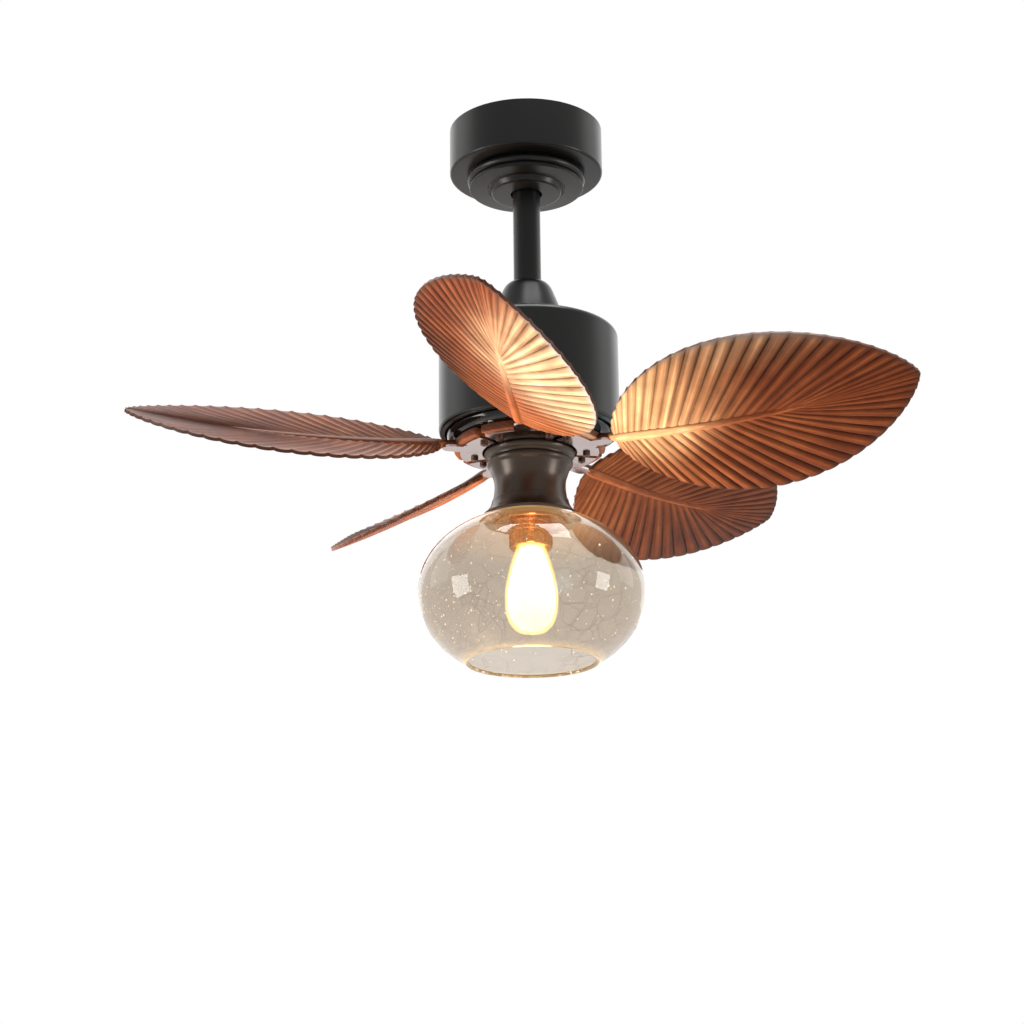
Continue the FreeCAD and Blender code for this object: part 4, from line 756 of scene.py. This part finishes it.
def leafPoint(along, across, lift):
    sideways, upwards = pitched(leaf["pitch"])
    sag = leaf["sag"] * 4 * along * (1 - along)
    spine = Vector((leaf["root"] + (leaf["tip"] - leaf["root"]) * along, 0,
                    -leaf["rootDrop"] - (leaf["tipDrop"] - leaf["rootDrop"]) * along - sag))
    cup = leaf["cup"] * (across / leaf["half"]) ** 2
    return (spine + sideways * across + upwards * (cup + lift)) / 1000


def makeLeaf():
    # a grid whose rows are the fold lines, laid out from the midrib to both edges
    p = leaf
    span = (1 - p["firstFold"]) / (p["lastFold"] - p["firstFold"]) * (p["pleats"] - 0.5)
    rows = math.ceil(span * p["rows"])
    clearSelection()
    bpy.ops.mesh.primitive_grid_add(x_subdivisions=rows, y_subdivisions=2 * p["columns"], size=2)
    piece = bpy.context.object
    creases = []
    edgeShades = []
    flat = []
    for vertex in piece.data.vertices:
        folds = min(round((vertex.co.x + 1) / 2 * rows) / p["rows"], span)
        line = folds / span
        side = vertex.co.y
        share = abs(side)
        turn = p["firstFold"] + (1 - p["firstFold"]) * line
        edgeAlong = (1 - math.cos(math.pi * turn)) / 2
        startAlong = p["ribReach"] * edgeAlong ** p["lean"]
        valley = abs(2 * ((folds + 0.5) % 1) - 1)
        ridge = 1 - valley ** p["sharp"]                       # broad ridge, sharp valley
        grow = min(share / p["growOver"], 1) ** p["growCurve"]
        ease = 1 - p["tipEase"] * edgeAlong - p["edgeEase"] * share ** p["edgeCurve"]
        bulge = math.sin(math.pi * min(edgeAlong + p["toothShift"], 1))
        tooth = p["tooth"] * (p["toothEnds"] + (1 - p["toothEnds"]) * bulge)
        width = max(leafHalf(edgeAlong) + (ridge - p["toothMiddle"]) * tooth, p["leastWidth"])
        along = startAlong + (edgeAlong - startAlong) * share
        lift = -(ridge - 0.5) * p["fold"] * grow * ease
        vertex.co = leafPoint(along, math.copysign(width * share, side), lift)
        # how much painted shade each point of a pleat valley takes
        creases.append(valley * grow)
        # painted shade on the blade's edge
        edgeShades.append(1.0 if share > p["rimFrom"] else 0.0)
        flat.append((along * p["grain"], line * p["grain"] + (0.5 if side > 0 else 0)))
    paint(piece.data, "crease", creases)
    paint(piece.data, "rim", edgeShades)
    layFlat(piece.data, flat)
    skin = piece.modifiers.new("thickness", "SOLIDIFY")
    skin.thickness = p["thick"] / 1000
    skin.offset = 0
    skin.use_rim = True
    bpy.ops.object.modifier_apply(modifier="thickness")
    paint(piece.data, "upper", facingUp(piece.data, 1.0))
    return piece


midrib = dict(sides=20, stations=34, start=(0.066, 0, -0.329), first=0.02, run=0.9, root=5.6, taper=0.8,
              end=0.5, flat=0.9, stem=0.2, stemRadius=3.8, swell=2.0, swellFrom=0.6, grain=3, upperShade=0.85)


def makeRib():
    # midrib and stem: a round bar drawn out station by station, then bent along the leaf
    m = midrib
    step = 0.001
    clearSelection()
    bpy.ops.mesh.primitive_circle_add(vertices=m["sides"], radius=step, fill_type="NGON")
    piece = bpy.context.object
    mesh = piece.data
    edit()
    for _ in range(m["stations"]):
        bpy.ops.mesh.extrude_region_move(TRANSFORM_OT_translate={"value": (0, 0, step)})
    bpy.ops.object.mode_set(mode="OBJECT")
    for vertex in mesh.vertices:
        share = round(vertex.co.z / step) / m["stations"]
        angle = math.atan2(vertex.co.y, vertex.co.x)
        if share < m["stem"]:                                  # stem from the root out to the leaf
            t = share / m["stem"]
            radius = m["stemRadius"] + m["swell"] * max(0, t - m["swellFrom"]) / (1 - m["swellFrom"])
            middle = Vector(m["start"]).lerp(leafPoint(m["first"], 0, 0), t)
        else:
            t = (share - m["stem"]) / (1 - m["stem"])
            radius = m["root"] * (1 - t) ** m["taper"] + m["end"]
            middle = leafPoint(m["first"] + m["run"] * t, 0, 0)
        sideways, upwards = pitched(leaf["pitch"] * min(share / m["stem"], 1))
        tall = radius * (m["flat"] if share > m["stem"] else 1.0)
        vertex.co = middle + (sideways * math.cos(angle) * radius + upwards * math.sin(angle) * tall) / 1000
    edit()
    closeShell()
    layFlat(mesh, [(v.co.x, (v.co.y + v.co.z) * m["grain"]) for v in mesh.vertices])
    paint(mesh, "upper", facingUp(mesh, 1.0))
    # painted shade on the top of the midrib, through the pleat shading
    paint(mesh, "crease", facingUp(mesh, m["upperShade"]))
    return piece


rootPlate = dict(inner=47, outer=72, top=325, bottom=333, angle=67, steps=28, soft=1.6, shade=0.6)


def makeRoot():
    # brown root flange: a ring sector, drawn round by spin and rounded over
    r = rootPlate
    middle = ((r["inner"] + r["outer"]) / 2000, 0, -(r["top"] + r["bottom"]) / 2000)
    clearSelection()
    bpy.ops.mesh.primitive_plane_add(size=1, location=middle, rotation=(math.pi / 2, 0, 0))
    piece = bpy.context.object
    mesh = piece.data
    piece.scale = ((r["outer"] - r["inner"]) / 1000, (r["bottom"] - r["top"]) / 1000, 1)
    applyPlace()
    edit()
    bpy.ops.mesh.spin(steps=r["steps"], angle=math.radians(r["angle"]), center=(0, 0, 0), axis=(0, 0, 1))
    closeShell()
    angles = [math.atan2(vertex.co.y, vertex.co.x) for vertex in mesh.vertices]
    piece.rotation_euler = (0, 0, -sum(angles) / len(angles))  # its middle to the blade's line
    applyPlace()
    soft = piece.modifiers.new("soft", "BEVEL")
    soft.width = r["soft"] / 1000
    soft.segments = 3
    soft.limit_method = "ANGLE"
    bpy.ops.object.modifier_apply(modifier="soft")
    # painted shadow of the drum on the root flange, through the leaf's edge colour
    paint(mesh, "rim", [r["shade"]] * len(mesh.vertices))
    layFlat(mesh, [(v.co.x, v.co.y * 2 + v.co.z * 3) for v in mesh.vertices])
    return piece


blades = dict(first=-23.65, step=72, count=5)


def makeBlades():
    blade = joined([makeLeaf(), makeRib(), makeRoot()])
    for index in range(blades["count"]):
        number = index + 1
        made = copied(blade, blades["first"] + blades["step"] * index)
        settle(made, f"leafBlade.{number}", "leaf_wood", "rotor", nodes=[f"blade_{number}"], angle=38)
    bpy.data.objects.remove(blade)


# screws under the blade plates
screw = dict(ring=54, angle=25.5, seat=335, radius=3.5, height=2.4, shank=2.0, length=14, sides=24,
             edge=0.9, dome=0.7, socketEdge=1.2, socketDepth=1.1)


def selectFaces(piece, wanted):
    edit("DESELECT")
    bpy.ops.mesh.select_mode(type="FACE")
    bpy.ops.object.mode_set(mode="OBJECT")
    for face in piece.data.polygons:
        face.select = wanted(face)
    bpy.ops.object.mode_set(mode="EDIT")


def drawOut(height):
    bpy.ops.mesh.extrude_region_move(TRANSFORM_OT_translate={"value": (0, 0, height / 1000)})


def makeScrews():
    s = screw
    middle = (s["ring"] / 1000, 0, -(s["seat"] + s["height"] / 2) / 1000)
    clearSelection()
    bpy.ops.mesh.primitive_cylinder_add(vertices=s["sides"], radius=s["radius"] / 1000,
                                        depth=s["height"] / 1000, location=middle)
    head = bpy.context.object
    applyPlace()
    selectFaces(head, lambda face: face.normal.z < -0.9)       # domed head with a socket
    bpy.ops.mesh.inset(thickness=s["edge"] / 1000, depth=s["dome"] / 1000)
    bpy.ops.mesh.inset(thickness=s["socketEdge"] / 1000)
    drawOut(s["socketDepth"])
    seatHeight = -(s["seat"] + 0.4) / 1000
    selectFaces(head, lambda face: face.normal.z > 0.9 and face.center.z > seatHeight)
    bpy.ops.mesh.inset(thickness=(s["radius"] - s["shank"]) / 1000)
    drawOut(s["length"])
    bpy.ops.mesh.select_mode(type="VERT")
    bpy.ops.object.mode_set(mode="OBJECT")
    made = []
    for index in range(blades["count"]):
        for side in (-1, 1):
            made.append(copied(head, blades["first"] + blades["step"] * index + side * s["angle"]))
    bpy.data.objects.remove(head)
    settle(joined(made), "bladeScrews", "brown_screw", "rotor", nodes=["blade_screws"], angle=35)


makeCanopy()
makeCover()
makeRod()
makeBell()
print("ceiling side and rod done")
makeDrum()
makeBowl()
makeNeck()
makeHolder()
makeRing()
print("motor and neck done")
makeBulb()
makeBulbGlow()
makeGlobe()
makeSeeds()
print("lamp and globe done")
makeBlades()
makeScrews()
print("blades done")

# the CAD nodes that stay take the finish of their slot
slotOf = {row["node"]: row["material_slot"] for row in frame["record"]["subparts"]}
for node, shown in frame["nodes"].items():
    shown.data.materials.clear()
    shown.data.materials.append(finishes[slotOf[node]].mat)

scene = bpy.context.scene
scene.view_settings.view_transform = "Standard"

floor = dict(size=13, height=-2.3, dark=(0.82, 0.82, 0.81), light=(0.86, 0.86, 0.85), drift=3, rough=0.8)


def makeFloor():
    clearSelection()
    bpy.ops.mesh.primitive_plane_add(size=floor["size"], location=(0, 0, floor["height"]))
    ground = bpy.context.object
    ground.name = "floor"
    finish = Finish("pale_floor", {"Roughness": floor["rough"]})
    tone = finish.noise(finish.place(), floor["drift"], 3.0)
    finish.link("Base Color", finish.mix(tone, floor["dark"], floor["light"]))
    ground.data.materials.append(finish.mat)
    ground.visible_diffuse = False


sky = dict(soft=(0.9, 0.95, 1.0), softPower=0.2, white=(1, 1, 1), whitePower=1.0)


def makeWorld():
    # soft light for the object, white for what the camera, glass and metal see
    scene.world = bpy.data.worlds.new("studio")
    scene.world.use_nodes = True
    scene.world.node_tree.nodes.clear()
    web = Web(scene.world.node_tree)
    soft = web.node("ShaderNodeBackground", {}, {"Color": sky["soft"], "Strength": sky["softPower"]})
    white = web.node("ShaderNodeBackground", {}, {"Color": sky["white"], "Strength": sky["whitePower"]})
    camera = web.node("ShaderNodeLightPath", output="Is Camera Ray")
    through = web.node("ShaderNodeLightPath", output="Is Transmission Ray")
    mirrored = web.node("ShaderNodeLightPath", output="Is Glossy Ray")
    seen = camera.orElse(through).orElse(mirrored)
    shown = web.node("ShaderNodeMixShader", {}, {0: seen, 1: soft, 2: white})
    web.node("ShaderNodeOutputWorld", {}, {"Surface": shown})


# cards show only in reflections, lamps without gloss only in the light they give
lamps = [
    dict(name="leftStrip", place=(-2.1, 0.45, 0.6), size=(1.2, 1.8), power=9, colour=(1.0, 0.98, 0.97)),
    dict(name="rightStrip", place=(2.1, 0.6, 0.6), size=(1.0, 1.8), power=7, colour=(1.0, 0.98, 0.96)),
    dict(name="backCard", place=(0, 3.2, 1.6), size=(7.0, 4.2), power=88, colour=(1.0, 1.0, 1.0), card=True),
    dict(name="leftWindow", place=(-2.1, -0.65, -0.67), size=(0.75, 1.1), power=36, colour=(1.0, 0.97, 0.93),
         card=True),
    dict(name="rightWindow", place=(2.1, -0.65, -0.6), size=(0.6, 0.9), power=24, colour=(1.0, 0.98, 0.96),
         card=True),
    dict(name="lowPanel", place=(-1.5, 1.6, -1.3), size=(1.2, 1.2), power=200, colour=(1.0, 0.78, 0.56),
         glossy=False),
    dict(name="frontPanel", place=(0.5, -1.2, -1.9), size=(1.0, 1.0), power=11, colour=(1.0, 0.88, 0.74),
         glossy=False),
    dict(name="topPanel", place=(0.2, -0.4, 2.2), size=(1.8, 1.8), power=125, colour=(1.0, 1.0, 1.0)),
    dict(name="floorWash", place=(0, 0, -1.7), aim=(0, 0, -2.3), size=(18, 18), power=1020,
         colour=(1.0, 1.0, 1.0), glossy=False),
    dict(name="lampLight", kind="POINT", place=(0, 0, -0.475), power=0.45, colour=(1.0, 0.72, 0.42)),
    # what the lamp throws on the leaves next to it and on its socket
    dict(name="spillFront", kind="SPOT", place=(-0.22, -0.24, -0.79), aim=(0.06, -0.272, -0.365), cone=31,
         blend=1.0, power=160, colour=(0.37, 1.0, 1.5), glossy=False),
    dict(name="spillRight", kind="SPOT", place=(0.02, -0.09, -0.5), aim=(0.1, -0.08, -0.316), cone=46,
         blend=0.9, power=12, colour=(0.58, 1.0, 1.15), glossy=False),
    dict(name="spillSocket", kind="SPOT", place=(0, -0.08, -0.48), aim=(0, -0.02, -0.412), cone=60,
         blend=0.5, power=0.42, colour=(1.0, 0.78, 0.45)),
]
lampAim = (0, 0, -0.35)
lampRadius = 0.02


def hangLamp(lamp):
    light = bpy.data.lights.new(lamp["name"], lamp.get("kind", "AREA"))
    light.energy = lamp["power"]
    light.color = lamp["colour"]
    if light.type == "AREA":
        light.shape = "RECTANGLE"
        light.size, light.size_y = lamp["size"]
    else:
        light.shadow_soft_size = lampRadius
    if light.type == "SPOT":
        light.spot_size = math.radians(lamp["cone"])
        light.spot_blend = lamp["blend"]
    hung = bpy.data.objects.new(lamp["name"], light)
    hung.location = lamp["place"]
    towards = Vector(lamp.get("aim", lampAim)) - Vector(lamp["place"])
    hung.rotation_euler = towards.to_track_quat("-Z", "Y").to_euler()
    hung.visible_camera = False
    hung.visible_transmission = False
    hung.visible_glossy = lamp.get("glossy", True)
    hung.visible_diffuse = not lamp.get("card", False)
    scene.collection.objects.link(hung)


view = dict(distance=2.15846, height=-1.06275, pitch=17.23, roll=0.75, sensor=36, focalPixels=2396.8,
            frame=1024, axisPixel=530.5)


def makeCamera():
    lens = bpy.data.cameras.new("photoView")
    lens.sensor_width = view["sensor"]
    lens.lens = view["sensor"] * view["focalPixels"] / view["frame"]
    lens.shift_x = -(view["axisPixel"] - view["frame"] / 2) / view["frame"]
    camera = bpy.data.objects.new("photoView", lens)
    camera.location = (0, -view["distance"], view["height"])
    raised = Euler((math.radians(90 + view["pitch"]), 0, 0)).to_matrix()
    rolled = Euler((0, 0, -math.radians(view["roll"]))).to_matrix()
    camera.rotation_euler = (raised @ rolled).to_euler()
    scene.collection.objects.link(camera)
    scene.camera = camera


makeFloor()
makeWorld()
for lamp in lamps:
    hangLamp(lamp)
makeCamera()
print("stage set")
